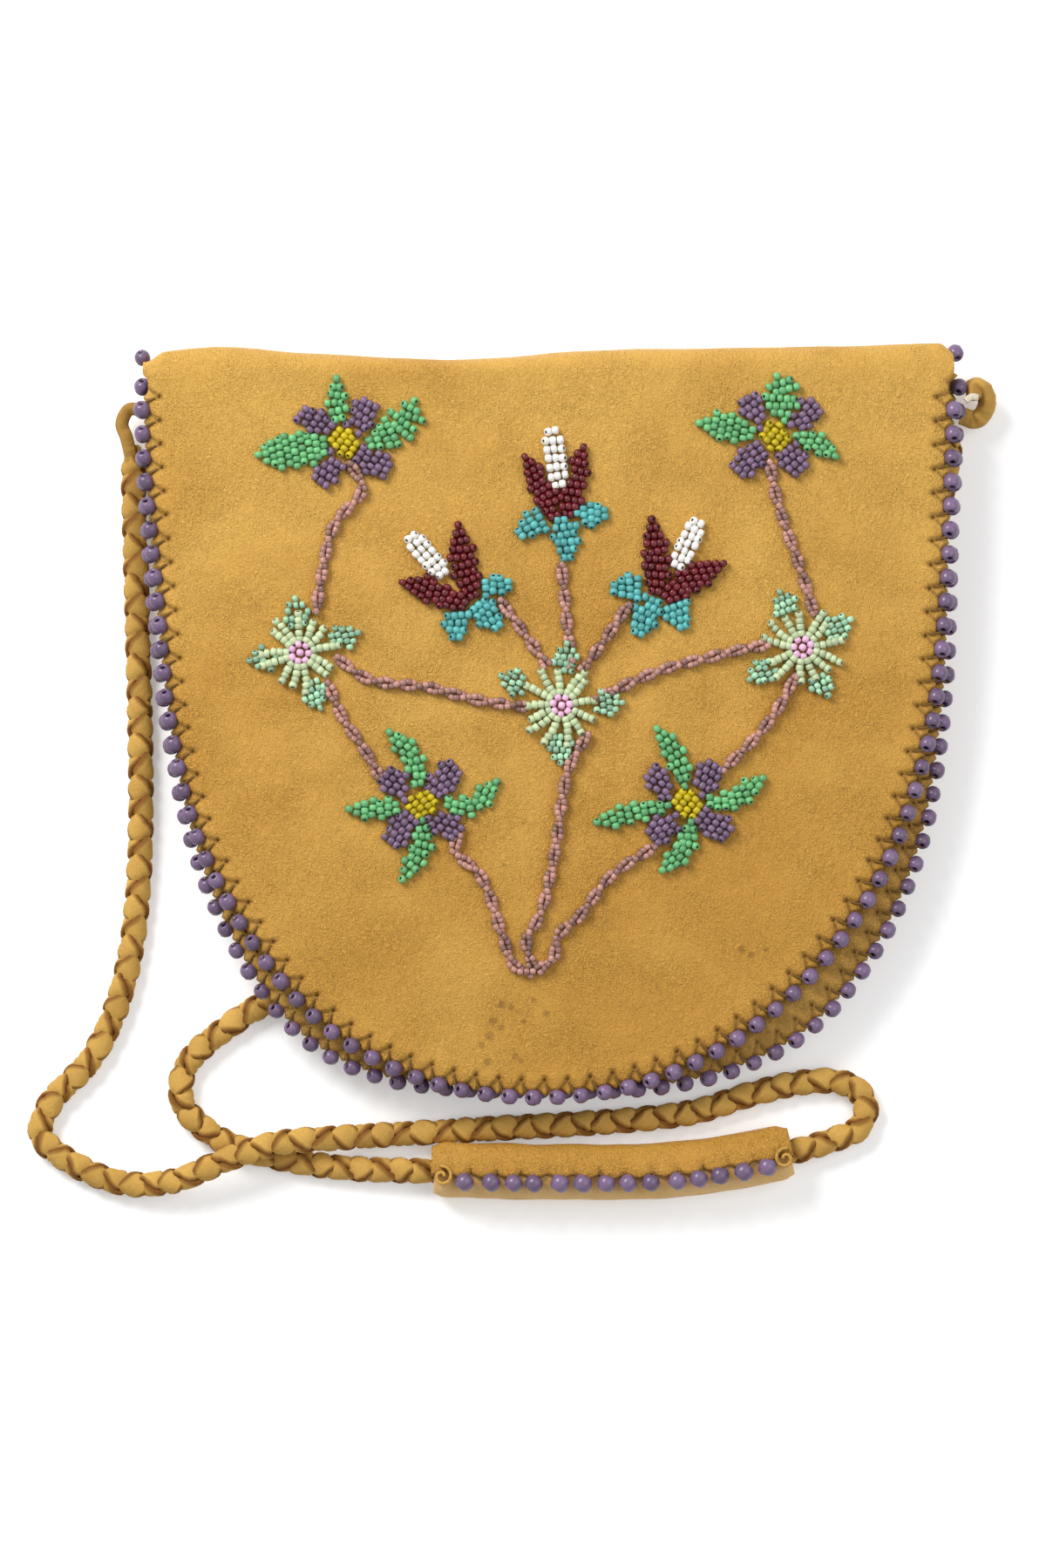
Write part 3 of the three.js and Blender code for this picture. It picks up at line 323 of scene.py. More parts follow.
def ease(x, low, high):
    t = min(max((x - low) / (high - low), 0.0), 1.0)
    return t * t * (3 - 2 * t)


def hump(x, width):
    return math.exp(-(x / width) ** 2)


BODY_LINE = Route(BODY_RIM)
FLAP_LINE = Route(FLAP_RIM)
FOLD_LINE = Route(FOLD_EDGE)
STRAP_LINE = Route(STRAP_ROUTE)


# Heights of the leather over the ground, as in the solids

BODY_REACH = [(math.atan2(p.x, HINGE_Y - p.y), math.hypot(p.x, HINGE_Y - p.y)) for p in BODY_LINE.line]
REACH_ANGLES = [angle for angle, _ in BODY_REACH]


def share_to_seam(x, y):
    """0 in the middle of the hinge line, 1 at the seam round the pouch."""
    angle = math.atan2(x, max(HINGE_Y - y, 0.0))
    i = min(max(bisect.bisect_left(REACH_ANGLES, angle), 1), len(BODY_REACH) - 1)
    (low, near), (high, far) = BODY_REACH[i - 1], BODY_REACH[i]
    t = min(max((angle - low) / (high - low), 0.0), 1.0)
    return min(math.hypot(x, HINGE_Y - y) / (near + t * (far - near)), 1.0)


def fullness(x, y):
    belly = ease(HINGE_Y - y, 0, 60)
    return (1 - share_to_seam(x, y) ** 3) * (0.45 + 0.55 * belly)


def back_top(x, y):
    return SEAM_LIFT * ease(share_to_seam(x, y), 0.74, 0.95) + LEATHER


def front_top(x, y):
    return SEAM_LIFT + 2 * LEATHER + CLEARANCE + FRONT_BULGE * fullness(x, y)


def flap_top(x, y):
    return SEAM_LIFT + 3 * LEATHER + CLEARANCE + FLAP_LIFT + FLAP_BULGE * fullness(x, y)


def mouth_line(x):
    """The upper edge of the front panel sags in the middle."""
    t = (x + MOUTH_SPAN / 2) / MOUTH_SPAN
    return MOUTH_Y - MOUTH_SAG * t * (1 - t)


# Meshes

def mapped_grid(mesh, across, along, place, closed=False):
    """A grid laid onto a surface: place(u, v), both from 0 to 1, gives each corner and how dark it is painted
    there, for rough edges or for painted shade.
    """
    crease = mesh.verts.layers.float.get("crease") or mesh.verts.layers.float.new("crease")
    made = bmesh.ops.create_grid(mesh, x_segments=across, y_segments=along, size=0.5)["verts"]
    for vertex in made:
        vertex.co, vertex[crease] = place(vertex.co.x + 0.5, vertex.co.y + 0.5)
    if closed:
        bmesh.ops.remove_doubles(mesh, verts=[v for v in made if v.is_boundary], dist=WELD)


def close_ends(mesh):
    bmesh.ops.holes_fill(mesh, edges=[e for e in mesh.edges if e.is_boundary], sides=0)


def squared(c, squareness):
    """A cosine or sine, pushed towards the corners of a square."""
    return math.copysign(abs(c) ** squareness, c)


def lace(mesh, points, half_width, half_thick, stations=40, sides=10, twist=0.0, squareness=0.6, rough=0.5):
    """A lace with a flat rounded section that follows a route, turned by twist degrees from end to end."""
    route = Route(points)

    def place(u, v):
        point, way = route.at(u * route.length)
        side = leftwards(way) if way.xy.length > 0.05 else Vector((1, 0, 0))
        face = Matrix.Rotation(math.radians(twist) * u, 3, way) @ way.cross(side).normalized()
        turn = 2 * math.pi * (v + 0.5 / sides)
        across, above = squared(math.cos(turn), squareness), squared(math.sin(turn), squareness)
        plump = 1 + 0.3 * noise.noise(Vector((u * route.length / 0.9, across * 0.4, half_width)))
        spot = point + face.cross(way) * (half_width * across) + face * (half_thick * plump * above)
        return spot, rough * ease(abs(across), 0.8, 1.0)

    mapped_grid(mesh, stations, sides, place, closed=True)


def finished(name, mesh, finish, body, nodes=(), placed=True):
    """Turns a bmesh in millimetres into an object in its place, that rides on a body."""
    bmesh.ops.scale(mesh, vec=(MM, MM, MM), verts=mesh.verts)
    data = bpy.data.meshes.new(name)
    mesh.to_mesh(data)
    mesh.free()
    data.shade_smooth()
    data.materials.append(finish)
    made = bpy.data.objects.new(name, data)
    bpy.context.scene.collection.objects.link(made)
    if nodes:
        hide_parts(*nodes)
    if placed:
        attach(made, body)
    return made


# Materials

class Finish:
    """A procedural material, put together node by node."""

    def __init__(self, name, **sockets):
        self.material = bpy.data.materials.new(name)
        self.material.use_nodes = True
        self.tree = self.material.node_tree
        self.shader = self.tree.nodes["Principled BSDF"]
        for socket, value in sockets.items():
            self.shader.inputs[socket.replace("_", " ")].default_value = value
        self.place = self.add("ShaderNodeTexCoord").outputs["Object"]

    def add(self, kind, inputs=None, **settings):
        node = self.tree.nodes.new(kind)
        for name, value in settings.items():
            setattr(node, name, value)
        for name, value in (inputs or {}).items():
            if isinstance(value, bpy.types.NodeSocket):
                self.tree.links.new(value, node.inputs[name])
            else:
                node.inputs[name].default_value = value
        return node

    def link(self, socket, name):
        self.tree.links.new(socket, self.shader.inputs[name])

    def speckle(self, scale, detail=2.0, roughness=0.5, stretch=(1, 1, 1)):
        """Cloudy noise whose features are scale millimetres wide."""
        spread = self.add("ShaderNodeMapping", {"Vector": self.place, "Scale": stretch})
        inputs = {
            "Vector": spread.outputs[0], "Scale": 1 / (scale * MM), "Detail": detail, "Roughness": roughness,
        }
        return self.add("ShaderNodeTexNoise", inputs).outputs["Fac"]

    def wrinkles(self, scale, stretch):
        """Winding furrows: 0 along each line, and more with the distance from it."""
        offset = self.math("SUBTRACT", self.speckle(scale, 2.0, 0.5, stretch), 0.5)
        return self.add("ShaderNodeMath", {0: offset}, operation="ABSOLUTE").outputs[0]

    def attribute(self, name):
        return self.add("ShaderNodeAttribute", attribute_name=name).outputs["Fac"]

    def remap(self, value, low, high, start=0.0, end=1.0):
        inputs = {"Value": value, "From Min": low, "From Max": high, "To Min": start, "To Max": end}
        return self.add("ShaderNodeMapRange", inputs).outputs["Result"]

    def mix(self, share, first, second, blend="MIX"):
        node = self.add("ShaderNodeMix", data_type="RGBA", blend_type=blend)
        for index, value in ((0, share), (6, first), (7, second)):
            if isinstance(value, bpy.types.NodeSocket):
                self.tree.links.new(value, node.inputs[index])
            else:
                node.inputs[index].default_value = value if index == 0 else (*value, 1)
        return node.outputs[2]

    def math(self, operation, first, second):
        return self.add("ShaderNodeMath", {0: first, 1: second}, operation=operation).outputs[0]

    def bump(self, height, depth, strength=1.0, under=None):
        """A relief of depth millimetres, on top of another one."""
        inputs = {"Height": height, "Distance": depth * MM, "Strength": strength}
        if under is not None:
            inputs["Normal"] = under
        return self.add("ShaderNodeBump", inputs).outputs["Normal"]


def leather_finish(name, light, deep, crease, stained=False):
    """Smooth golden hide: soft clouds, painted shade towards the bottom, a net of fine wrinkles with painted
    shade in its furrows, pores, and painted shade in the stitch holes.
    """
    finish = Finish(name, Specular_IOR_Level=0.27)
    clouds = finish.speckle(34, 3.0)
    # Painted shade: the colour goes from the light one at the top to the deeper one at the bottom
    down = finish.add("ShaderNodeSeparateXYZ", {"Vector": finish.place}).outputs["Y"]
    lower = finish.remap(down, 0.09, -0.09)
    shift = finish.math("ADD", finish.remap(clouds, 0.3, 0.7, -0.5, 0.5), lower)
    tint = finish.mix(finish.remap(shift, 0, 1), light, deep)
    pores = finish.speckle(0.55, 3.0, 0.6, (1.4, 1, 1))
    tint = finish.mix(finish.remap(pores, 0.35, 0.75, 0.0, 0.13), tint, crease)
    furrows = finish.math("MINIMUM", finish.wrinkles(2.1, (2.2, 1, 1)), finish.wrinkles(1.2, (1, 1.7, 1)))
    patches = finish.remap(finish.speckle(16, 2.0), 0.35, 0.65, 0.55, 1.0)
    # Painted shade: the colour is darkened along the furrows of the wrinkle net, in patches
    net = finish.math("MULTIPLY", finish.remap(furrows, 0, 0.03, 1, 0), patches)
    tint = finish.mix(finish.remap(net, 0, 1, 0, 0.11), tint, crease)
    if stained:
        marks = None
        for x, y, radius in STAINS:
            middle = (x * MM, y * MM, flap_top(x, y) * MM)
            near = finish.add("ShaderNodeVectorMath", {0: finish.place, 1: middle}, operation="DISTANCE")
            wobble = finish.math("ADD", near.outputs["Value"], finish.remap(pores, 0.2, 0.8, -0.0004, 0.0004))
            spot = finish.remap(wobble, radius * 0.6 * MM, radius * 1.15 * MM, 0.42, 0.0)
            marks = spot if marks is None else finish.math("MAXIMUM", marks, spot)
        tint = finish.mix(marks, tint, crease)
    # Painted shade in the stitch folds and holes and along the edges, from the vertex mask
    stitch_shade = finish.attribute("crease")
    tint = finish.mix(finish.math("MULTIPLY", stitch_shade, 0.85), tint, crease)
    finish.link(tint, "Base Color")
    waves = finish.bump(finish.speckle(22, 2.0, 0.5, (1.5, 1, 1)), 1.6, 0.5)
    folds = finish.bump(finish.speckle(5, 4.0, 0.65, (2.0, 1, 1)), 0.7, 0.7, waves)
    valleys = finish.math("MULTIPLY", finish.remap(furrows, 0, 0.1, -1, 0), patches)
    creased = finish.bump(valleys, 0.2, 1.0, folds)
    finish.link(finish.bump(pores, 0.22, 1.0, creased), "Normal")
    finish.link(finish.remap(clouds, 0.3, 0.7, 0.43, 0.55), "Roughness")
    return finish.material


def suede_finish(name, face, edge):
    """Leather strands: smooth faces, and brown rough edges where an attribute says so; on the sleeve's inner
    layer that attribute is painted shade along the seam.
    """
    finish = Finish(name, Specular_IOR_Level=0.2)
    nap = finish.speckle(0.6, 4.0, 0.7)
    clouds = finish.speckle(12, 2.0)
    tint = finish.mix(finish.remap(clouds, 0.35, 0.7, 0, 0.28), face, edge)
    tint = finish.mix(finish.remap(nap, 0.35, 0.8, 0.0, 0.25), tint, edge)
    finish.link(finish.mix(finish.attribute("crease"), tint, edge), "Base Color")
    folds = finish.bump(finish.speckle(2.4, 3.0), 0.3, 0.5)
    finish.link(finish.bump(nap, 0.12, 0.8, folds), "Normal")
    finish.link(finish.remap(nap, 0.3, 0.7, 0.6, 0.8), "Roughness")
    return finish.material


def glass_finish(name, main, low=0.72, high=1.2, roughness=0.25):
    """Bead glass: each bead has its own tone, with painted shade in the hole at its ends."""
    finish = Finish(name, Roughness=roughness, Specular_IOR_Level=0.4)
    dark = tuple(c * low for c in main)
    bright = tuple(min(c * high, 1.0) for c in main)
    tone = finish.attribute("tone")
    cloud = finish.speckle(1.2, 2.0)
    tone = finish.math("ADD", tone, finish.remap(cloud, 0.3, 0.7, -0.12, 0.12))
    tint = finish.mix(finish.remap(tone, 0, 1), dark, bright)
    # Painted shade for the inside of the hole
    hole = tuple(c * 0.12 for c in main)
    finish.link(finish.mix(finish.attribute("hole"), tint, hole), "Base Color")
    finish.link(finish.bump(cloud, 0.04, 0.4), "Normal")
    return finish.material


# Beads

# Half sections of the three kinds of bead: place along the hole, and distance from it
SMALL_PROFILE = [
    (-0.40, 0.28), (-0.50, 0.50), (-0.36, 0.88), (0, 1.0), (0.36, 0.88), (0.50, 0.50), (0.40, 0.28),
]
TUBE_PROFILE = [
    (-0.42, 0.30), (-0.50, 0.62), (-0.40, 0.95), (0, 1.0), (0.40, 0.95), (0.50, 0.62), (0.42, 0.30),
]
EDGE_PROFILE = [
    (-0.25, 0.27), (-0.47, 0.36), (-0.45, 0.62), (-0.27, 0.91), (0, 1.0), (0.27, 0.91), (0.45, 0.62),
    (0.47, 0.36), (0.25, 0.27),
]
# Vertices this near a bead's hole get painted shade
HOLE_REACH = 0.32


def bead_shape(profile, steps):
    """One bead with its hole along X, one millimetre long and one in radius."""
    shape = bmesh.new()
    ring = [shape.verts.new((x, 0, r)) for x, r in profile]
    for a, b in zip(ring, ring[1:] + ring[:1]):
        shape.edges.new((a, b))
    bmesh.ops.spin(
        shape, geom=shape.verts[:] + shape.edges[:], cent=(0, 0, 0), axis=(1, 0, 0), angle=2 * math.pi,
        steps=steps, use_merge=True)
    bmesh.ops.remove_doubles(shape, verts=shape.verts, dist=WELD)
    bmesh.ops.recalc_face_normals(shape, faces=shape.faces)
    hole = shape.verts.layers.float.new("hole")
    shape.verts.layers.float.new("tone")
    for vertex in shape.verts:
        # Painted shade mask: the vertices round the hole are marked for the dark inside of the hole
        vertex[hole] = 1.0 if vertex.co.yz.length < HOLE_REACH else 0.0
    data = bpy.data.meshes.new("bead")
    shape.to_mesh(data)
    shape.free()
    return data


class Beads:
    """The beads of one piece, and the places that all small beads have taken so far."""
    taken = {}

    def __init__(self, name, seed, profile=SMALL_PROFILE, steps=8):
        self.name = name
        self.chance = random.Random(seed)
        self.mesh = bmesh.new()
        self.shape = bead_shape(profile, steps)
        for cell in Beads.taken.values():
            cell[:] = [spot for spot in cell if spot[0] != name]

    def put(self, point, way, length, diameter, up=UP, tone=None):
        """Adds one bead whose hole runs along way."""
        along = way.normalized()
        side = up.cross(along).normalized()
        turn = Matrix((along, side, along.cross(side))).transposed().to_4x4()
        size = Matrix.Diagonal((length, diameter / 2, diameter / 2, 1))
        matrix = Matrix.Translation(point) @ turn @ size
        bead = self.shape.copy()
        bead.transform(matrix)
        shade = self.chance.random() if tone is None else tone
        bead.attributes["tone"].data.foreach_set("value", [shade] * len(bead.vertices))
        self.mesh.from_mesh(bead)
        bpy.data.meshes.remove(bead)

    def sew(self, x, y, way, diameter, lift=0.0, room=None, tone=None, length=0.77):
        """Adds one small bead on the flap, unless another lies too near."""
        room = diameter * 0.66 if room is None else room
        cell = (round(x / 3), round(y / 3))
        for i in (-1, 0, 1):
            for j in (-1, 0, 1):
                for _, px, py, level, other in Beads.taken.get((cell[0] + i, cell[1] + j), []):
                    if abs(level - lift) < 0.9 and math.hypot(px - x, py - y) < (room + other) / 2:
                        return False
        Beads.taken.setdefault(cell, []).append((self.name, x, y, lift, room))
        chance = self.chance
        shifted = Vector((x + chance.uniform(-0.1, 0.1), y + chance.uniform(-0.1, 0.1), 0))
        shifted.z = flap_top(x, y) + diameter * 0.48 + lift + chance.uniform(-0.08, 0.08)
        turned = Matrix.Rotation(math.radians(chance.uniform(-9, 9)), 3, "Z") @ way
        size = diameter * chance.uniform(0.95, 1.05)
        self.put(shifted, turned, size * length * chance.uniform(0.92, 1.08), size, tone=tone)
        return True

    def piece(self, finish, body, nodes=()):
        bpy.data.meshes.remove(self.shape)
        return finished(self.name, self.mesh, finish, body, nodes)


def flat(point):
    return Vector((point[0], point[1], 0))


def cross_rows(beads, points, counts, diameter, spread=1.67, dome=0.0, stagger=0.25):
    """Short rows across a motif, one behind the other along its spine, each beside the last one's gaps."""
    spine = Route(points)
    pitch = spine.length / (len(counts) - 1)
    for row, count in enumerate(counts):
        point, way = spine.at(row * pitch)
        side = leftwards(way)
        slant = beads.chance.uniform(-0.12, 0.12)
        shift = 0.0
        if count > 1 and count in counts[max(row - 1, 0):row] + counts[row + 1:row + 2]:
            shift = spread * (stagger if row % 2 else -stagger)
        for k in range(count):
            off = (k - (count - 1) / 2) * spread + shift
            spot = point + side * off + way * (slant * off)
            tip = 0.0
            if k in (0, count - 1) and beads.chance.random() < 0.5:
                tip = beads.chance.uniform(0.5, 1.1) * (-1 if k == 0 else 1)
            middle = max(abs(off), abs(row - (len(counts) - 1) / 2) * pitch)
            beads.sew(spot.x, spot.y, side + UP * tip, diameter, dome * max(0.0, 1.6 - middle / 1.9))


# Stitched edges

def stitches_of(line, pitch):
    """Distances along an edge at which its beads sit."""
    count = round(line.length / pitch)
    return [(i + 0.5) * line.length / count for i in range(count)]


# How far inside the leather's edge its rows of vertices lie, and where each stitch goes through it
EDGE_ROWS = [0.0, 0.3, 0.6, 0.95, 1.3, 1.7, 2.1, 2.5, 2.9, 3.3, 3.8, 4.5, 5.6, 7.0]
HOLE_BEHIND = 3.0
HOLE_INSET = 4.3
INNER_ROWS = 18


def edge_inset(run, pitch):
    """How far inside the bead line the leather ends: a rounded tab fills the gap between two beads."""
    phase = (run / pitch - 0.5) % 1.0
    return 1.55 - 1.15 * hump(phase - 0.5, 0.17)


def puckers(run, inset, pitch, depth):
    """How far the stitches pull the leather down beside its edge, and how much painted shade darkens it
    there.
    """
    after = (run / pitch - 0.5) % 1.0 * pitch
    hole = Vector((pitch - HOLE_BEHIND, HOLE_INSET))
    down = dark = 0.0
    for along in (after, after - pitch, after + pitch):
        spot = Vector((along, inset))
        folds = []
        for start, end in ((Vector((0.5, 1.5)), hole), (hole, Vector((pitch - 1.5, 0.7)))):
            t = min(max((spot - start).dot(end - start) / (end - start).length_squared, 0.0), 1.0)
            folds.append((spot - start.lerp(end, t)).length)
            if start.x <= along <= end.x:
                line = start.y + (end.y - start.y) * (along - start.x) / (end.x - start.x)
                down = max(down, 0.8 * depth * ease(line - inset, 0.0, 0.5))
        pit = hump((spot - hole).length, 0.6)
        down = max(down, depth * 0.8 * hump(folds[0], 0.42), depth * hump(folds[1], 0.6), depth * 1.7 * pit)
        dark = max(dark, 0.75 * hump(folds[0], 0.34), 0.8 * hump(folds[1], 0.42), 1.3 * pit)
    return down, min(dark, 1.0)


def leather_sheet(mesh, line, origin, height, settings, pitch, runs, inner_rows, per_stitch, swell=0.3):
    """A domed panel that fans out from origin to its stitched edge."""
    start, end = runs
    columns = round((end - start) / pitch * per_stitch)
    last_band = len(EDGE_ROWS) - 1
    rows = last_band + inner_rows

    def place(u, v):
        run = start + u * (end - start)
        point, way = line.at(run)
        row = round(v * rows)
        edge = edge_inset(run, pitch)
        inset = edge + EDGE_ROWS[min(row, last_band)] * (1 if row >= last_band else 1 + (1.55 - edge) / 7)
        spot = point + leftwards(way) * inset
        deeper = (row - last_band) / inner_rows
        if deeper > 0:
            spot = spot.lerp(origin, deeper)
            inset += deeper * 30
        spot.y = origin.y if u in (0.0, 1.0) else min(spot.y, origin.y)
        down, dark = puckers(run, inset, pitch, settings.groove / MM)
        worked = ease(min(run, line.length - run), 1.0, 2.6)
        down, dark = down * worked, dark * worked
        rolled = 0.6 * hump(inset - edge, 0.45)
        puffed = swell * hump(inset - 4.6, 1.8)
        calm = ease(inset, 4, 14) * ease(origin.y - spot.y, 0, 14)
        ripple = 0.4 * noise.noise(Vector((spot.x, spot.y, 7)) / 15) * calm
        spot.z = height(spot.x, spot.y) - down - rolled + puffed + ripple
        # The mask adds painted shade in the stitch folds and holes and along the cut edge
        return spot, max(dark, 0.45 * worked * hump(inset - edge, 0.3))

    mapped_grid(mesh, columns, rows, place)
    centre = [v for v in mesh.verts if (v.co.xy - origin.xy).length < 0.01]
    bmesh.ops.remove_doubles(mesh, verts=centre, dist=0.02)


def lined(mesh):
    """Gives a panel its thickness: the stitches press it thin, so that its underside stays smooth."""
    crease = mesh.verts.layers.float["crease"]
    under = mesh.verts.layers.float_vector.new("under")
    mesh.normal_update()
    for vertex in mesh.verts:
        way = vertex.normal if vertex.co.y > HINGE_Y - 0.01 else UP
        vertex[under] = vertex.co - way * (LEATHER * (1 - 0.75 * vertex[crease]))
    for part in bmesh.ops.solidify(mesh, geom=mesh.faces[:], thickness=LEATHER)["geom"]:
        if isinstance(part, bmesh.types.BMVert):
            part.co = part[under]


def curl_fold(mesh):
    """Draws the top edge of the flap out round the fold, down to the back panel."""
    edges = [e for e in mesh.edges if e.is_boundary and all(v.co.y > HINGE_Y - 0.001 for v in e.verts)]
    steps = 18
    for step in range(1, steps + 1):
        drawn = bmesh.ops.extrude_edge_only(mesh, edges=edges)["geom"]
        edges = [g for g in drawn if isinstance(g, bmesh.types.BMEdge)]
        turn = math.pi * (0.5 - step / steps)
        for vertex in (g for g in drawn if isinstance(g, bmesh.types.BMVert)):
            x = vertex.co.x
            high = flap_top(x, HINGE_Y)
            low = back_top(x, HINGE_Y) - LEATHER
            reach = FOLD_LINE.at(FOLD_LINE.nearest(Vector((x, FOLD_Y, 0))))[0].y - HINGE_Y
            reach *= 0.55 + 0.45 * ease(98 - abs(x), 0, 5)
            wave = 0.3 * noise.noise(Vector((x / 9, step / 5, 3)))
            vertex.co.y = HINGE_Y + (reach + wave) * squared(max(math.cos(turn), 0.0), 0.77)
            vertex.co.z = (high + low) / 2 + (high - low) / 2 * squared(math.sin(turn), 0.77)


def edge_beads(name, places, settings, finish, body, node):
    """The round beads on the whipstitches of one seam, tipped up at the end where the thread enters."""
    beads = Beads(name, 11, EDGE_PROFILE, 12)
    for point, way in places:
        chance = beads.chance
        tipped = (way - UP * math.tan(math.radians(chance.uniform(28, 46)))).normalized()
        tipped = Matrix.Rotation(math.radians(chance.uniform(-14, 14)), 3, "Z") @ tipped
        size = settings.bead / MM * chance.uniform(0.95, 1.04)
        beads.put(point, tipped, size * 0.95, size)
    return beads.piece(finish, body, [node])


def edge_threads(name, line, height, settings, finish, body, skip=0, under=False):
    """Stitches from each hole in the leather to the next bead, on the underside too where it shows."""
    mesh = bmesh.new()
    runs = stitches_of(line, settings.pitch / MM)
    for run in runs[skip:len(runs) - skip]:
        hole, way = line.at(max(run - HOLE_BEHIND, 0.0))
        bead, bead_way = line.at(run)
        start = hole + leftwards(way) * HOLE_INSET
        middle = line.at(run - 2.3)[0] + leftwards(way) * 2.2
        end = bead - bead_way * 1.5 + leftwards(bead_way) * 0.3
        sides = [(-1.1, -0.32, -0.35), (-LEATHER, -LEATHER - 0.25, -LEATHER)]
        for rises in sides if under else sides[:1]:
            points = []
            for spot, rise in zip((start, middle, end), rises):
                points.append((spot.x, spot.y, height(spot.x, spot.y) + rise))
            lace(mesh, points, 0.3, 0.26, stations=6, sides=6, squareness=1.0, rough=0.0)
    close_ends(mesh)
    return finished(name, mesh, finish, body)


# Braid

def strap_height(z):
    return BRAID_LOW + (z - ROUTE_LOW) * 0.75


# Half of a strand's section: share of its half width, share of its half thickness, and how rough it is there
STRAND_SECTION = [
    (1.0, -0.7, 1), (1.0, 0.3, 1), (0.92, 0.85, 1), (0.76, 1.05, 0.75), (0.56, 0.92, 0), (0.0, 0.66, 0),
    (-0.56, 0.92, 0), (-0.76, 1.05, 0.75), (-0.92, 0.85, 1), (-1.0, 0.3, 1), (-1.0, -0.7, 1), (-0.5, -0.9, 1),
    (0.5, -0.9, 1),
]


def braid(mesh, line, settings):
    """Four flat strands, two each way round, each going over and under the others in turn."""
    width, repeat = settings.strand / MM, settings.repeat / MM
    stations_a_repeat = 22
    stations = round(line.length / repeat * stations_a_repeat)
    wide, high, thick = 2.0, 1.0, 0.5
    girth = math.pi * (wide + high)
    lean = math.atan2(girth, repeat)
    for sense in (1, -1):
        for offset in (0.0, math.pi):
            def place(u, v, sense=sense, offset=offset):
                corner = round(v * len(STRAND_SECTION)) % len(STRAND_SECTION)
                across, above, rough = STRAND_SECTION[corner]
                run = u * line.length
                ragged = 0.2 * abs(across) * noise.noise(Vector((run / 1.6, sense * 9 + offset, across)))
                shift = (across + ragged) * width / 2
                station = min(max(run - sense * shift * math.sin(lean), 0.0), line.length)
                point, way = line.at(station)
                side = leftwards(way)
                up = way.cross(side).normalized()
                phase = 2 * math.pi * run / repeat + 0.4 * noise.noise(Vector((run / 13, 0, 3)))
                roll = 0.8 * noise.noise(Vector((run / 60, 2, 5)))
                angle = sense * phase + offset + math.pi / 4 + shift * math.cos(lean) * 2 * math.pi / girth
                angle += roll
                out = 0.72 * sense * squared(math.cos(2 * phase), 0.4) + thick * above
                slim = 0.6 + 0.4 * ease(min(run, line.length - run), 0, 6)
                sideways = side * ((wide + out) * math.cos(angle) * slim)
                upwards = up * ((high + out) * math.sin(angle) * slim)
                return Vector((point.x, point.y, strap_height(point.z))) + (sideways + upwards), rough

            mapped_grid(mesh, stations, len(STRAND_SECTION), place, closed=True)
    close_ends(mesh)


def strap_path():
    """The braid's own line from end to end, in metres."""
    path = []
    for i in range(STRAP_STEPS + 1):
        point = STRAP_LINE.at(STRAP_LINE.length * i / STRAP_STEPS)[0]
        path.append((point.x * MM, point.y * MM, strap_height(point.z) * MM))
    return path


# Shoulder sleeve

SLEEVE_RUNS = (STRAP_LINE.nearest(SLEEVE_STARTS), STRAP_LINE.nearest(SLEEVE_ENDS))


def sleeve_spot(run, turn, wide, high):
    """A point on the sleeve, at a distance along the strap and a turn round it; its ends are narrower."""
    start, end = SLEEVE_RUNS
    point, way = STRAP_LINE.at(run)
    side = leftwards(way)
    wobble = 0.3 * noise.noise(Vector((run / 8, turn * 2, 1)))
    full = 0.84 + 0.16 * ease(min(run - start, end - run), -LAP_PAST, 2.6)
    sideways = side * (full * (wide + wobble) * math.cos(turn))
    upwards = UP * (full * (high + wobble) * math.sin(turn))
    return Vector((point.x, point.y, SLEEVE_LIE)) + (sideways + upwards)


def sleeve_core(u, v):
    """The inner layer, with painted shade along the seam beside the outer layer's edge."""
    start, end = SLEEVE_RUNS
    turn = 2 * math.pi * v
    return sleeve_spot(start + u * (end - start), turn, *SLEEVE_CORE), 0.8 * hump(turn - SEAM_TURN, 0.16)


def sleeve_lap(u, v):
    """The outer layer, whose edge the stitches draw into a scallop at each bead, with painted shade along
    that edge and in the dips.
    """
    start, end = SLEEVE_RUNS
    phase = (u * SLEEVE_BEADS) % 1.0
    edge_at = 0.5 + 0.45 * math.cos(2 * math.pi * phase)
    first = math.acos(edge_at / SLEEVE_SEAM)
    turn = first + v * (math.radians(LAP_ENDS) - first)
    dip = 0.7 * hump(phase - 0.5, 0.13) * hump(v, 0.15)
    # Painted shade along the edge and in the dip at each stitch
    dark = max(hump(phase - 0.5, 0.06) * hump(v, 0.1), 0.85 * hump(v, 0.035))
    wide, high = SLEEVE_LAP
    run = start - LAP_PAST + u * (end - start + 2 * LAP_PAST)
    return sleeve_spot(run, turn, wide - dip, high - dip), dark


# Operators

class BAG_OT_camera(bpy.types.Operator):
    """Camera straight above the bag, as in the photograph"""
    bl_idname = "bag.camera"
    bl_label = "Camera"

    def execute(self, context):
        data = bpy.data.cameras.new("camera")
        data.sensor_width = 36
        data.lens = CAMERA_LENS
        data.clip_end = 20
        camera = bpy.data.objects.new("camera", data)
        camera.location = CAMERA_PLACE
        context.scene.collection.objects.link(camera)
        context.scene.camera = camera
        return {"FINISHED"}


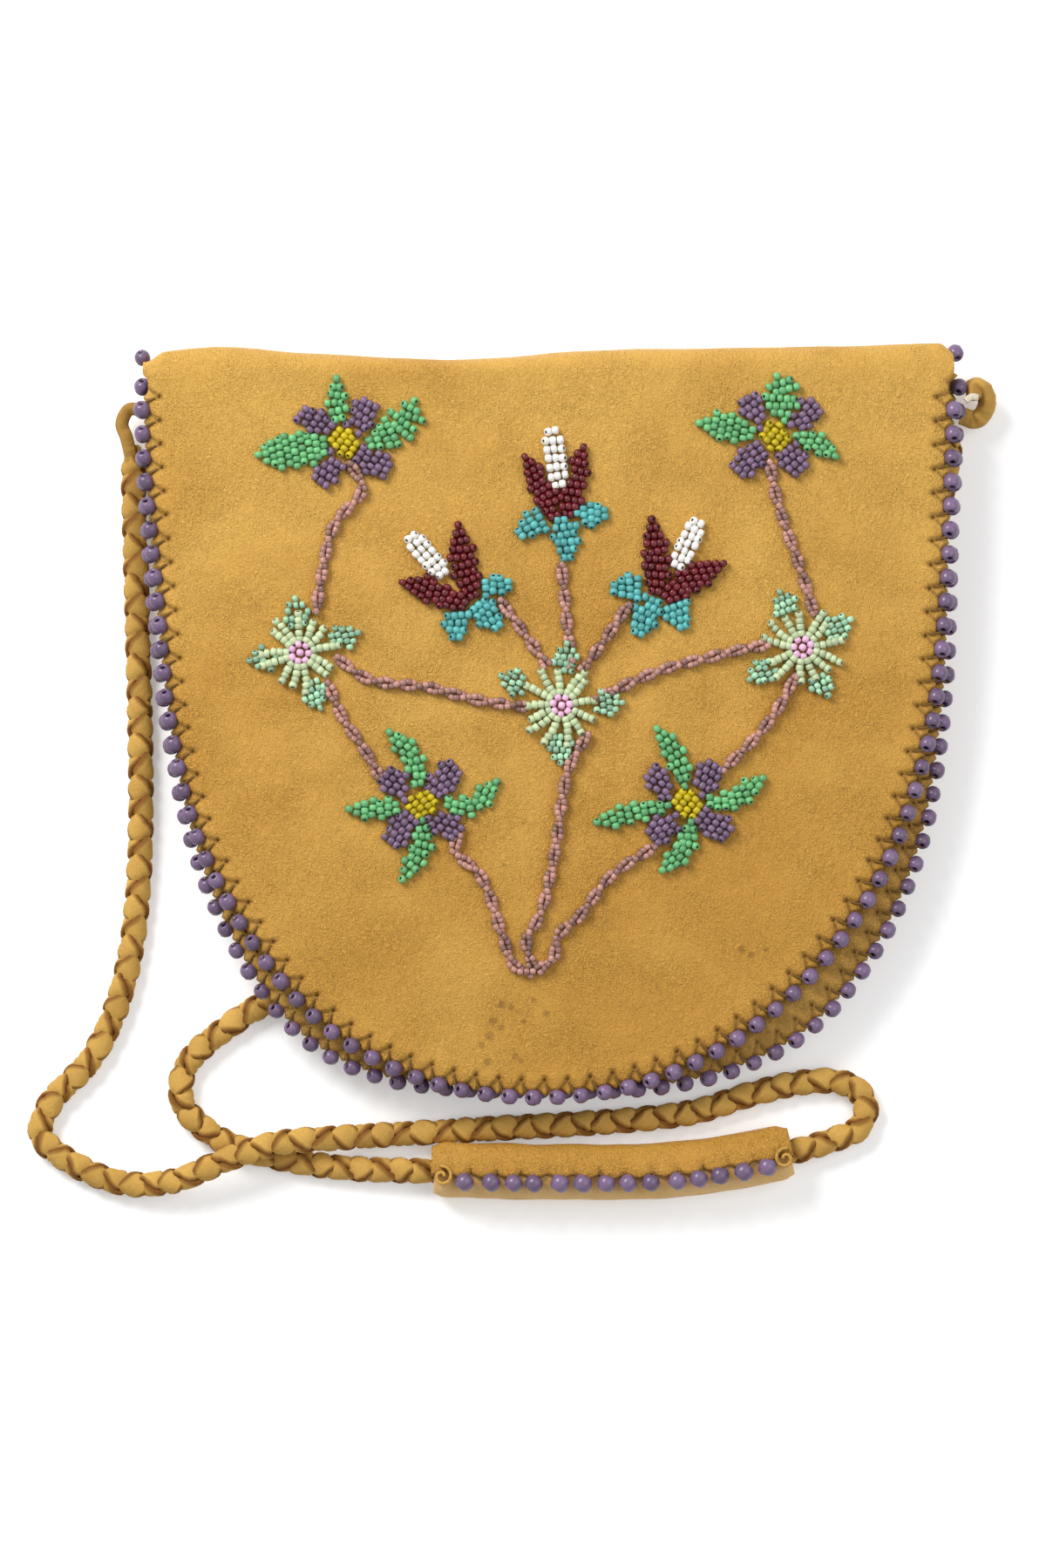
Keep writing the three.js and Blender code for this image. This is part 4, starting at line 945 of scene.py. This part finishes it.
class BAG_OT_strap(bpy.types.Operator):
    """Braided strap with its loop, knot and thong"""
    bl_idname = "bag.strap"
    bl_label = "Strap"

    def execute(self, context):
        settings = context.scene.bag_strap
        hide = suede_finish("braided leather", settings.face, settings.edge)
        mesh = bmesh.new()
        braid(mesh, STRAP_LINE, settings)
        finished("strap_braid", mesh, hide, "bag", ["strap"])
        mesh = bmesh.new()
        lace(mesh, [LOOP_FOOT, *LOOP_ROUTE], 1.6, 0.75, twist=40)
        close_ends(mesh)
        loop = finished("strap_loop_lace", mesh, hide, "bag", ["strap_loop"])
        mesh = bmesh.new()
        lace(mesh, KNOT_ROUTE, 2.2, 1.6, sides=12, twist=80)
        close_ends(mesh)
        knot = finished("strap_knot_lace", mesh, hide, "bag", ["strap_knot"])
        pale = suede_finish("pale thong", paint("#ece3cd"), paint("#9c8a62"))
        mesh = bmesh.new()
        lace(mesh, THONG_ROUTE, 0.85, 0.5, stations=16)
        close_ends(mesh)
        thong = finished("knot_thong_lace", mesh, pale, "bag", ["knot_thong"])
        context.scene["bag_cord_pieces"] = [loop.name, knot.name, thong.name]
        return {"FINISHED"}


class BAG_OT_sleeve(bpy.types.Operator):
    """Leather shoulder sleeve round the strap, with its beaded seam"""
    bl_idname = "bag.sleeve"
    bl_label = "Shoulder sleeve"

    def execute(self, context):
        leather, strap = context.scene.bag_leather, context.scene.bag_strap
        suede = suede_finish("sleeve suede", strap.suede, leather.deep)
        hide = leather_finish("sleeve leather", leather.light, leather.deep, leather.crease)
        # The inner layer's painted shade along the seam takes the deep leather colour
        under = self.layer("sleeve_core", suede, sleeve_core, 90, 28, 0.9, closed=True)
        over = self.layer("sleeve_lap", hide, sleeve_lap, SLEEVE_BEADS * 9, 22, 0.55)
        curls = self.curls()
        row, seam = self.seam(context.scene.bag_edge, leather.crease)
        path = strap_path()
        return {"FINISHED"}

    @staticmethod
    def layer(name, finish, place, across, along, thickness, closed=False):
        """One of the two layers of leather."""
        mesh = bmesh.new()
        mapped_grid(mesh, across, along, place, closed=closed)
        bmesh.ops.recalc_face_normals(mesh, faces=mesh.faces)
        bmesh.ops.solidify(mesh, geom=mesh.faces[:], thickness=thickness)
        return finished(name, mesh, finish, "bag", ["shoulder_pad"])

    @staticmethod
    def curls():
        """The rolled lace ends, one at each end of the seam."""
        start, end = SLEEVE_RUNS
        mesh = bmesh.new()
        for run, way in ((start + 1.5, -1), (end - 2.0, 1)):
            base = sleeve_spot(run, math.radians(84), 6.6, 5.1)
            points = []
            for i in range(14):
                turn = i * 0.62
                out = 0.5 + 0.16 * i
                points.append(tuple(base + Vector((way * out * math.cos(turn), out * math.sin(turn), 1.0))))
            lace(mesh, points, 0.45, 0.8, stations=60, sides=8)
        close_ends(mesh)
        return finished("sleeve_curls", mesh, bpy.data.materials["braided leather"], "bag")

    @staticmethod
    def seam(edge, crease):
        """The beads on the sleeve's seam, each held by two stitches."""
        start, end = SLEEVE_RUNS
        span = end - start
        stitches = bmesh.new()
        beads = Beads("sleeve_beads", 5, EDGE_PROFILE, 12)
        for i in range(SLEEVE_BEADS):
            run = start + (0.07 + 0.84 * i / (SLEEVE_BEADS - 1)) * span + beads.chance.uniform(-0.5, 0.5)
            way = STRAP_LINE.at(run)[1]
            seat = sleeve_spot(run, math.acos(1.9 / 6.4), 6.4, 4.7)
            size = edge.bead / MM * beads.chance.uniform(1.08, 1.16)
            across = Matrix.Rotation(math.radians(beads.chance.uniform(40, 75)), 3, "Z") @ way
            beads.put(Vector((seat.x, seat.y, seat.z + 1.8)), across, size * 0.92, size)
            for lean in (-1, 1):
                points = []
                for shift, off, rise in ((0.5, 1.4, 0.9), (1.0, 0.0, 0.3), (1.7, -1.3, -0.25)):
                    turn = math.acos(off / SLEEVE_SEAM)
                    points.append(tuple(sleeve_spot(run + lean * shift, turn, *SLEEVE_LAP) + UP * rise))
                lace(stitches, points, 0.38, 0.3, stations=8, sides=6, rough=0.0)
        glass = glass_finish("sleeve bead glass", edge.glass, 0.75, 1.2)
        row = beads.piece(glass, "bag", ["pad_beads"])
        close_ends(stitches)
        thread = suede_finish("sleeve thread", edge.thread, crease)
        return row, finished("sleeve_stitches", stitches, thread, "bag")


class BAG_OT_leather(bpy.types.Operator):
    """Flap with its fold, and the two panels of the pouch"""
    bl_idname = "bag.leather"
    bl_label = "Leather"

    def execute(self, context):
        settings, edge = context.scene.bag_leather, context.scene.bag_edge
        outer = leather_finish("flap leather", settings.light, settings.deep, settings.crease, stained=True)
        inner = leather_finish("pouch leather", settings.light, settings.shaded, settings.crease)
        wanted = edge.pitch / MM
        hinge = Vector((0, HINGE_Y, 0))
        mesh = bmesh.new()
        pitch = FLAP_LINE.length / round(FLAP_LINE.length / wanted)
        whole = (0.0, FLAP_LINE.length)
        leather_sheet(mesh, FLAP_LINE, hinge, flap_top, settings, pitch, whole, INNER_ROWS, 12)
        curl_fold(mesh)
        lined(mesh)
        flap = finished("flap_leather", mesh, outer, None, ["flap", "flap_fold"], placed=False)
        still, turning = ((0, HINGE_Y * MM, height * MM) for height in FOLD_BENDS)
        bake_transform(flap, "bag", "flap", start=still, end=turning)
        pitch = BODY_LINE.length / round(BODY_LINE.length / wanted)
        mesh = bmesh.new()
        whole = (0.0, BODY_LINE.length)
        leather_sheet(mesh, BODY_LINE, hinge, back_top, settings, pitch, whole, INNER_ROWS, 6, swell=0.0)
        lined(mesh)
        for vertex in mesh.verts:
            vertex.co.z = max(vertex.co.z, 0.0)
        finished("back_leather", mesh, inner, "bag", ["back_panel"])
        mesh = bmesh.new()
        open_runs = [run for run, p in zip(BODY_LINE.gone, BODY_LINE.line) if p.y < mouth_line(p.x)]
        mouth = Vector((0, BODY_LINE.at(open_runs[0])[0].y, 0))
        below = (open_runs[0], open_runs[-1])
        leather_sheet(mesh, BODY_LINE, mouth, front_top, settings, pitch, below, INNER_ROWS, 9)
        lined(mesh)
        for vertex in mesh.verts:
            drop = mouth.y - mouth_line(vertex.co.x)
            vertex.co.y -= drop * ease(vertex.co.y, mouth.y - 30, mouth.y)
        finished("front_leather", mesh, inner, "bag", ["front_panel"])
        return {"FINISHED"}


class BAG_OT_edges(bpy.types.Operator):
    """Beads and thread on the stitched edges"""
    bl_idname = "bag.edges"
    bl_label = "Stitched edges"

    def execute(self, context):
        settings = context.scene.bag_edge
        glass = glass_finish("edge bead glass", settings.glass, 0.75, 1.2)
        thread = suede_finish("sewing thread", settings.thread, tuple(c * 0.5 for c in settings.thread))
        pitch = settings.pitch / MM

        def seam_height(x, y):
            return SEAM_LIFT + LEATHER + CLEARANCE / 2

        def flap_height(x, y):
            return flap_top(x, y) - LEATHER / 2

        def places(line, height, skip):
            runs = stitches_of(line, pitch)
            found = []
            for run in runs[skip:len(runs) - skip]:
                point, way = line.at(run)
                found.append((Vector((point.x, point.y, height(point.x, point.y))), way))
            return found

        body = places(BODY_LINE, seam_height, 0)
        for corner, way in zip(CORNER_BEADS, (Vector((0.2, -1, 0)), Vector((-0.2, 1, 0)))):
            body.append((Vector(corner), way))
        edge_beads("seam_beads", body, settings, glass, "bag", "body_edge_beads")
        flap = places(FLAP_LINE, flap_height, 1)
        edge_beads("flap_beads", flap, settings, glass, "flap", "flap_edge_beads")
        edge_threads("seam_thread", BODY_LINE, front_top, settings, thread, "bag", 4)
        edge_threads("flap_thread", FLAP_LINE, flap_top, settings, thread, "flap", 1, under=True)
        return {"FINISHED"}


class BAG_OT_flowers(bpy.types.Operator):
    """Purple flowers with yellow middles and green leaves"""
    bl_idname = "bag.flowers"
    bl_label = "Flowers"

    def execute(self, context):
        settings = context.scene.bag_beadwork
        size = settings.bead / MM
        purple = glass_finish("petal glass", settings.petal)
        yellow = glass_finish("yellow glass", settings.yolk, 0.75, 1.15)
        green = glass_finish("leaf glass", settings.leaf)
        for seed, (name, (centre, petals, leaves)) in enumerate(FLOWERS.items()):
            middle = flat(centre)
            beads = Beads(name + "_centre_beads", 30 + seed)
            tilt = math.radians(40 if seed % 3 == 2 else -38)
            way = Vector((math.cos(tilt), math.sin(tilt), 0))
            ends = [middle - way * 2.7, middle + way * 2.7]
            cross_rows(beads, ends, (3, 4, 4, 3), size * 0.95, 1.55, dome=0.45)
            beads.piece(yellow, "flap", [name + "_flower_centre"])
            for side, (spine, width) in leaves.items():
                node = f"{name}_leaf_{side}"
                beads = Beads(node + "_beads", 40 + seed)
                cross_rows(beads, spine, self.leaf_rows(Route(spine).length, width), size)
                beads.piece(green, "flap", [node])
            beads = Beads(name + "_petal_beads", 20 + seed)
            for petal in petals:
                way = (flat(petal) - middle).normalized()
                start, end = flat(petal) - way * 3.9, flat(petal) + way * 3.5
                cross_rows(beads, [start, end], (3, 4, 4, 4, 3), size, 1.68)
            beads.piece(purple, "flap", [name + "_petals"])
        return {"FINISHED"}

    @staticmethod
    def leaf_rows(spine_length, width):
        """How many beads lie across a leaf, row by row from its root to its tip."""
        rows = round(spine_length / ROW_PITCH) + 1
        widest = round(width / BEAD_SPREAD)
        counts = []
        for row in range(rows):
            share = row / (rows - 1)
            full = min(1.0, 0.3 + share * 2.2, 0.28 + (1 - share) * 2.6)
            counts.append(max(1, round(widest * full)))
        return tuple(counts)


class BAG_OT_buds(bpy.types.Operator):
    """Buds: white bar, maroon cup, turquoise calyx"""
    bl_idname = "bag.buds"
    bl_label = "Buds"

    def execute(self, context):
        settings = context.scene.bag_beadwork
        size = settings.bead / MM
        white = glass_finish("white glass", settings.white, 0.94, 1.0)
        maroon = glass_finish("maroon glass", settings.maroon, 0.75, 1.3)
        turquoise = glass_finish("turquoise glass", settings.turquoise)
        for seed, (name, (foot, tips, bar, lobes)) in enumerate(BUDS.items()):
            beads = Beads(name + "_bar_beads", 60 + seed)
            start, end = flat(bar[0]), flat(bar[1])
            way = (end - start).normalized()
            ends = [start + way * 1.0, end - way * 1.0]
            cross_rows(beads, ends, (2, 3, 3, 3, 3, 3, 2), size, 1.74, stagger=0.0)
            beads.piece(white, "flap", [name + "_bud_bar"])
            beads = Beads(name + "_cup_beads", 70 + seed)
            base = flat(foot)
            for tip, hand in zip(tips, (-1, 1)):
                reach = flat(tip) - base
                outward = leftwards(reach) * hand
                points = [
                    base + reach * 0.05 + outward * 1.4,
                    base + reach * 0.4 + outward * 0.1,
                    flat(tip) - reach * 0.04,
                ]
                cross_rows(beads, points, (2, 3, 4, 4, 4, 4, 4, 3, 2, 1), size, 1.63)
            beads.piece(maroon, "flap", [name + "_bud_cup"])
            beads = Beads(name + "_calyx_beads", 80 + seed)
            for root, tip in lobes:
                reach = (flat(tip) - flat(root)).normalized()
                ends = [flat(root) + reach * 0.2, flat(tip) - reach * 0.8]
                rows = round((ends[1] - ends[0]).length / ROW_PITCH) + 1
                cross_rows(beads, ends, (3,) + (4,) * (rows - 3) + (3, 2), size, 1.65)
            beads.piece(turquoise, "flap", [name + "_bud_calyx"])
        return {"FINISHED"}


class BAG_OT_rosettes(bpy.types.Operator):
    """Pale green rosettes with pink middles and openwork leaves"""
    bl_idname = "bag.rosettes"
    bl_label = "Rosettes"

    def execute(self, context):
        settings = context.scene.bag_beadwork
        size = settings.bead / MM
        pale = glass_finish("pale green glass", settings.pale, 0.78, 1.12)
        pink = glass_finish("pink glass", settings.pink, 0.85, 1.05)
        sea = glass_finish("sea green glass", settings.sea, 0.7, 1.45, 0.15)
        for seed, (name, (centre, leaves)) in enumerate(ROSETTES.items()):
            middle = flat(centre)
            beads = Beads(name + "_pink_beads", 90 + seed)
            for radius, count, lift in PINK_RINGS:
                for i in range(count):
                    turn = 2 * math.pi * (i + seed * 0.2) / count
                    out = Vector((math.cos(turn), math.sin(turn), 0))
                    spot = middle + out * radius
                    beads.sew(spot.x, spot.y, leftwards(out), size * 0.88, lift, room=1.3, length=0.86)
            beads.piece(pink, "flap", [name + "_rosette_centre"])
            beads = Beads(name + "_string_beads", 110 + seed, TUBE_PROFILE)
            for i in range(ROSETTE_STRINGS):
                turn = 2 * math.pi * (i + 0.3) / ROSETTE_STRINGS + beads.chance.uniform(-0.1, 0.1)
                out = Vector((math.cos(turn), math.sin(turn), 0))
                curl = beads.chance.uniform(-0.1, 0.1)
                count = beads.chance.choice((4, 4, 5))
                for k in range(count):
                    spot = middle + out * (STRING_START + STRING_PITCH * k) + leftwards(out) * (curl * k * k)
                    way = out + UP * (0.5 if k == count - 1 else 0)
                    beads.sew(spot.x, spot.y, way, size * 0.94, 0.2, room=1.1, length=0.76)
            beads.piece(pale, "flap", [name + "_rosette"])
            beads = Beads(name + "_leaf_work", 100 + seed)
            for tip in leaves:
                reach = flat(tip) - middle
                way = reach.normalized()
                points = [middle + way * (reach.length - 6.6), middle + way * (reach.length - 0.3)]
                cross_rows(beads, points, (3, 4, 4, 3, 1), size * 0.84, 1.55)
            beads.piece(sea, "flap", [name + "_rosette"])
        return {"FINISHED"}


class BAG_OT_stems(bpy.types.Operator):
    """Stems of two twisted strings of tiny beads"""
    bl_idname = "bag.stems"
    bl_label = "Stems"

    def execute(self, context):
        settings = context.scene.bag_beadwork
        size = settings.stem_bead / MM
        mauve = glass_finish("stem glass", settings.stem, 0.65, 1.7, 0.15)
        for seed, (name, routes) in enumerate(STEMS.items()):
            beads = Beads(name + "_stem_beads", 120 + seed, TUBE_PROFILE)
            for points in routes:
                route = Route(points)
                for strand in (0, 1):
                    run = 0.5
                    while run < route.length - 0.3:
                        phase = math.pi * run / STEM_TWIST + strand * math.pi
                        point, way = route.at(run)
                        off = 0.82 * math.sin(phase)
                        over = 0.5 * math.cos(phase)
                        drift = Matrix.Rotation(0.5 * math.cos(phase), 3, "Z") @ way
                        spot = point + leftwards(way) * off
                        beads.sew(spot.x, spot.y, drift, size, 0.25 + over, room=0.0, length=0.98)
                        run += size * 0.9
            beads.piece(mauve, "flap", [name + "_stem"])
        return {"FINISHED"}


# Stage: half the floor's side in metres, the glow of the floor, and the light of the room
FLOOR_REACH = 2.5
FLOOR_GLOW = 0.28
ROOM_LIGHT = 0.36
# Each lamp: name, place and size in metres, and its share of the main lamp's power
LAMPS = [
    ("main lamp", (-0.85, 0.95, 1.0), 0.7, 1.0),
    ("fill lamp", (0.9, 0.2, 1.3), 1.2, 0.35),
]


class BAG_OT_stage(bpy.types.Operator):
    """Pale floor and soft studio light"""
    bl_idname = "bag.stage"
    bl_label = "Stage"

    def execute(self, context):
        context.scene.view_settings.view_transform = "Standard"
        self.floor(context.scene)
        self.room(context.scene)
        self.lamps(context.scene)
        return {"FINISHED"}

    def floor(self, scene):
        mesh = bmesh.new()
        bmesh.ops.create_grid(mesh, x_segments=1, y_segments=1, size=FLOOR_REACH)
        bmesh.ops.translate(mesh, vec=(0, 0, -0.0002), verts=mesh.verts)
        data = bpy.data.meshes.new("floor")
        mesh.to_mesh(data)
        mesh.free()
        floor = bpy.data.objects.new("floor", data)
        scene.collection.objects.link(floor)
        paper = Finish("floor paper", Roughness=0.9, Specular_IOR_Level=0.1, Emission_Color=(1, 1, 1, 1))
        paper.shader.inputs["Base Color"].default_value = (*scene.bag_stage.floor, 1)
        paper.link(paper.remap(self.seen(paper.tree), 0, 1, 0, FLOOR_GLOW), "Emission Strength")
        data.materials.append(paper.material)

    def room(self, scene):
        """White where it is seen, and dimmer as a light."""
        world = bpy.data.worlds.new("studio")
        world.use_nodes = True
        scene.world = world
        tree = world.node_tree
        background = tree.nodes["Background"]
        background.inputs["Color"].default_value = (1, 1, 1, 1)
        strength = tree.nodes.new("ShaderNodeMapRange")
        strength.inputs["To Min"].default_value = ROOM_LIGHT
        strength.inputs["To Max"].default_value = 1.0
        tree.links.new(self.seen(tree), strength.inputs["Value"])
        tree.links.new(strength.outputs["Result"], background.inputs["Strength"])

    @staticmethod
    def lamps(scene):
        for name, place, size, share in LAMPS:
            lamp = bpy.data.lights.new(name, "AREA")
            lamp.energy = scene.bag_stage.lamp * share
            lamp.size = size
            holder = bpy.data.objects.new(name, lamp)
            holder.location = place
            holder.rotation_euler = (Vector((0, 0, 0)) - Vector(place)).to_track_quat("-Z", "Y").to_euler()
            scene.collection.objects.link(holder)

    @staticmethod
    def seen(tree):
        """1 for rays that show the surface itself, in glass and gloss too."""
        path = tree.nodes.new("ShaderNodeLightPath")
        last = path.outputs["Is Camera Ray"]
        for ray in ("Is Glossy Ray", "Is Transmission Ray"):
            either = tree.nodes.new("ShaderNodeMath")
            either.operation = "MAXIMUM"
            tree.links.new(last, either.inputs[0])
            tree.links.new(path.outputs[ray], either.inputs[1])
            last = either.outputs[0]
        return last


class BAG_PT_panel(bpy.types.Panel):
    """Settings and makers of the bag"""
    bl_idname = "BAG_PT_panel"
    bl_label = "Beaded shoulder bag"
    bl_space_type = "VIEW_3D"
    bl_region_type = "UI"
    bl_category = "Bag"

    def draw(self, context):
        for title, group in SETTINGS.items():
            box = self.layout.box()
            box.label(text=title[4:].capitalize())
            for name in group.__annotations__:
                box.prop(getattr(context.scene, title), name)
        for operator in MAKERS:
            self.layout.operator(operator.bl_idname)


SETTINGS = {
    "bag_leather": BagLeather,
    "bag_edge": BagEdge,
    "bag_beadwork": BagBeadwork,
    "bag_strap": BagStrap,
    "bag_stage": BagStage,
}
MAKERS = [
    BAG_OT_camera, BAG_OT_strap, BAG_OT_sleeve, BAG_OT_leather, BAG_OT_edges, BAG_OT_flowers, BAG_OT_buds,
    BAG_OT_rosettes, BAG_OT_stems, BAG_OT_stage,
]


def register():
    for item in (*SETTINGS.values(), *MAKERS, BAG_PT_panel):
        bpy.utils.register_class(item)
    for title, group in SETTINGS.items():
        setattr(bpy.types.Scene, title, bpy.props.PointerProperty(type=group))


def unregister():
    for title in SETTINGS:
        delattr(bpy.types.Scene, title)
    for item in (BAG_PT_panel, *reversed(MAKERS), *reversed(SETTINGS.values())):
        bpy.utils.unregister_class(item)


def main():
    register()
    bpy.ops.bag.camera()
    bpy.ops.bag.strap()
    bpy.ops.bag.sleeve()
    bpy.ops.bag.leather()
    bpy.ops.bag.edges()
    bpy.ops.bag.flowers()
    bpy.ops.bag.buds()
    bpy.ops.bag.rosettes()
    bpy.ops.bag.stems()
    bpy.ops.bag.stage()
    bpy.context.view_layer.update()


if __name__ == "__main__":
    main()
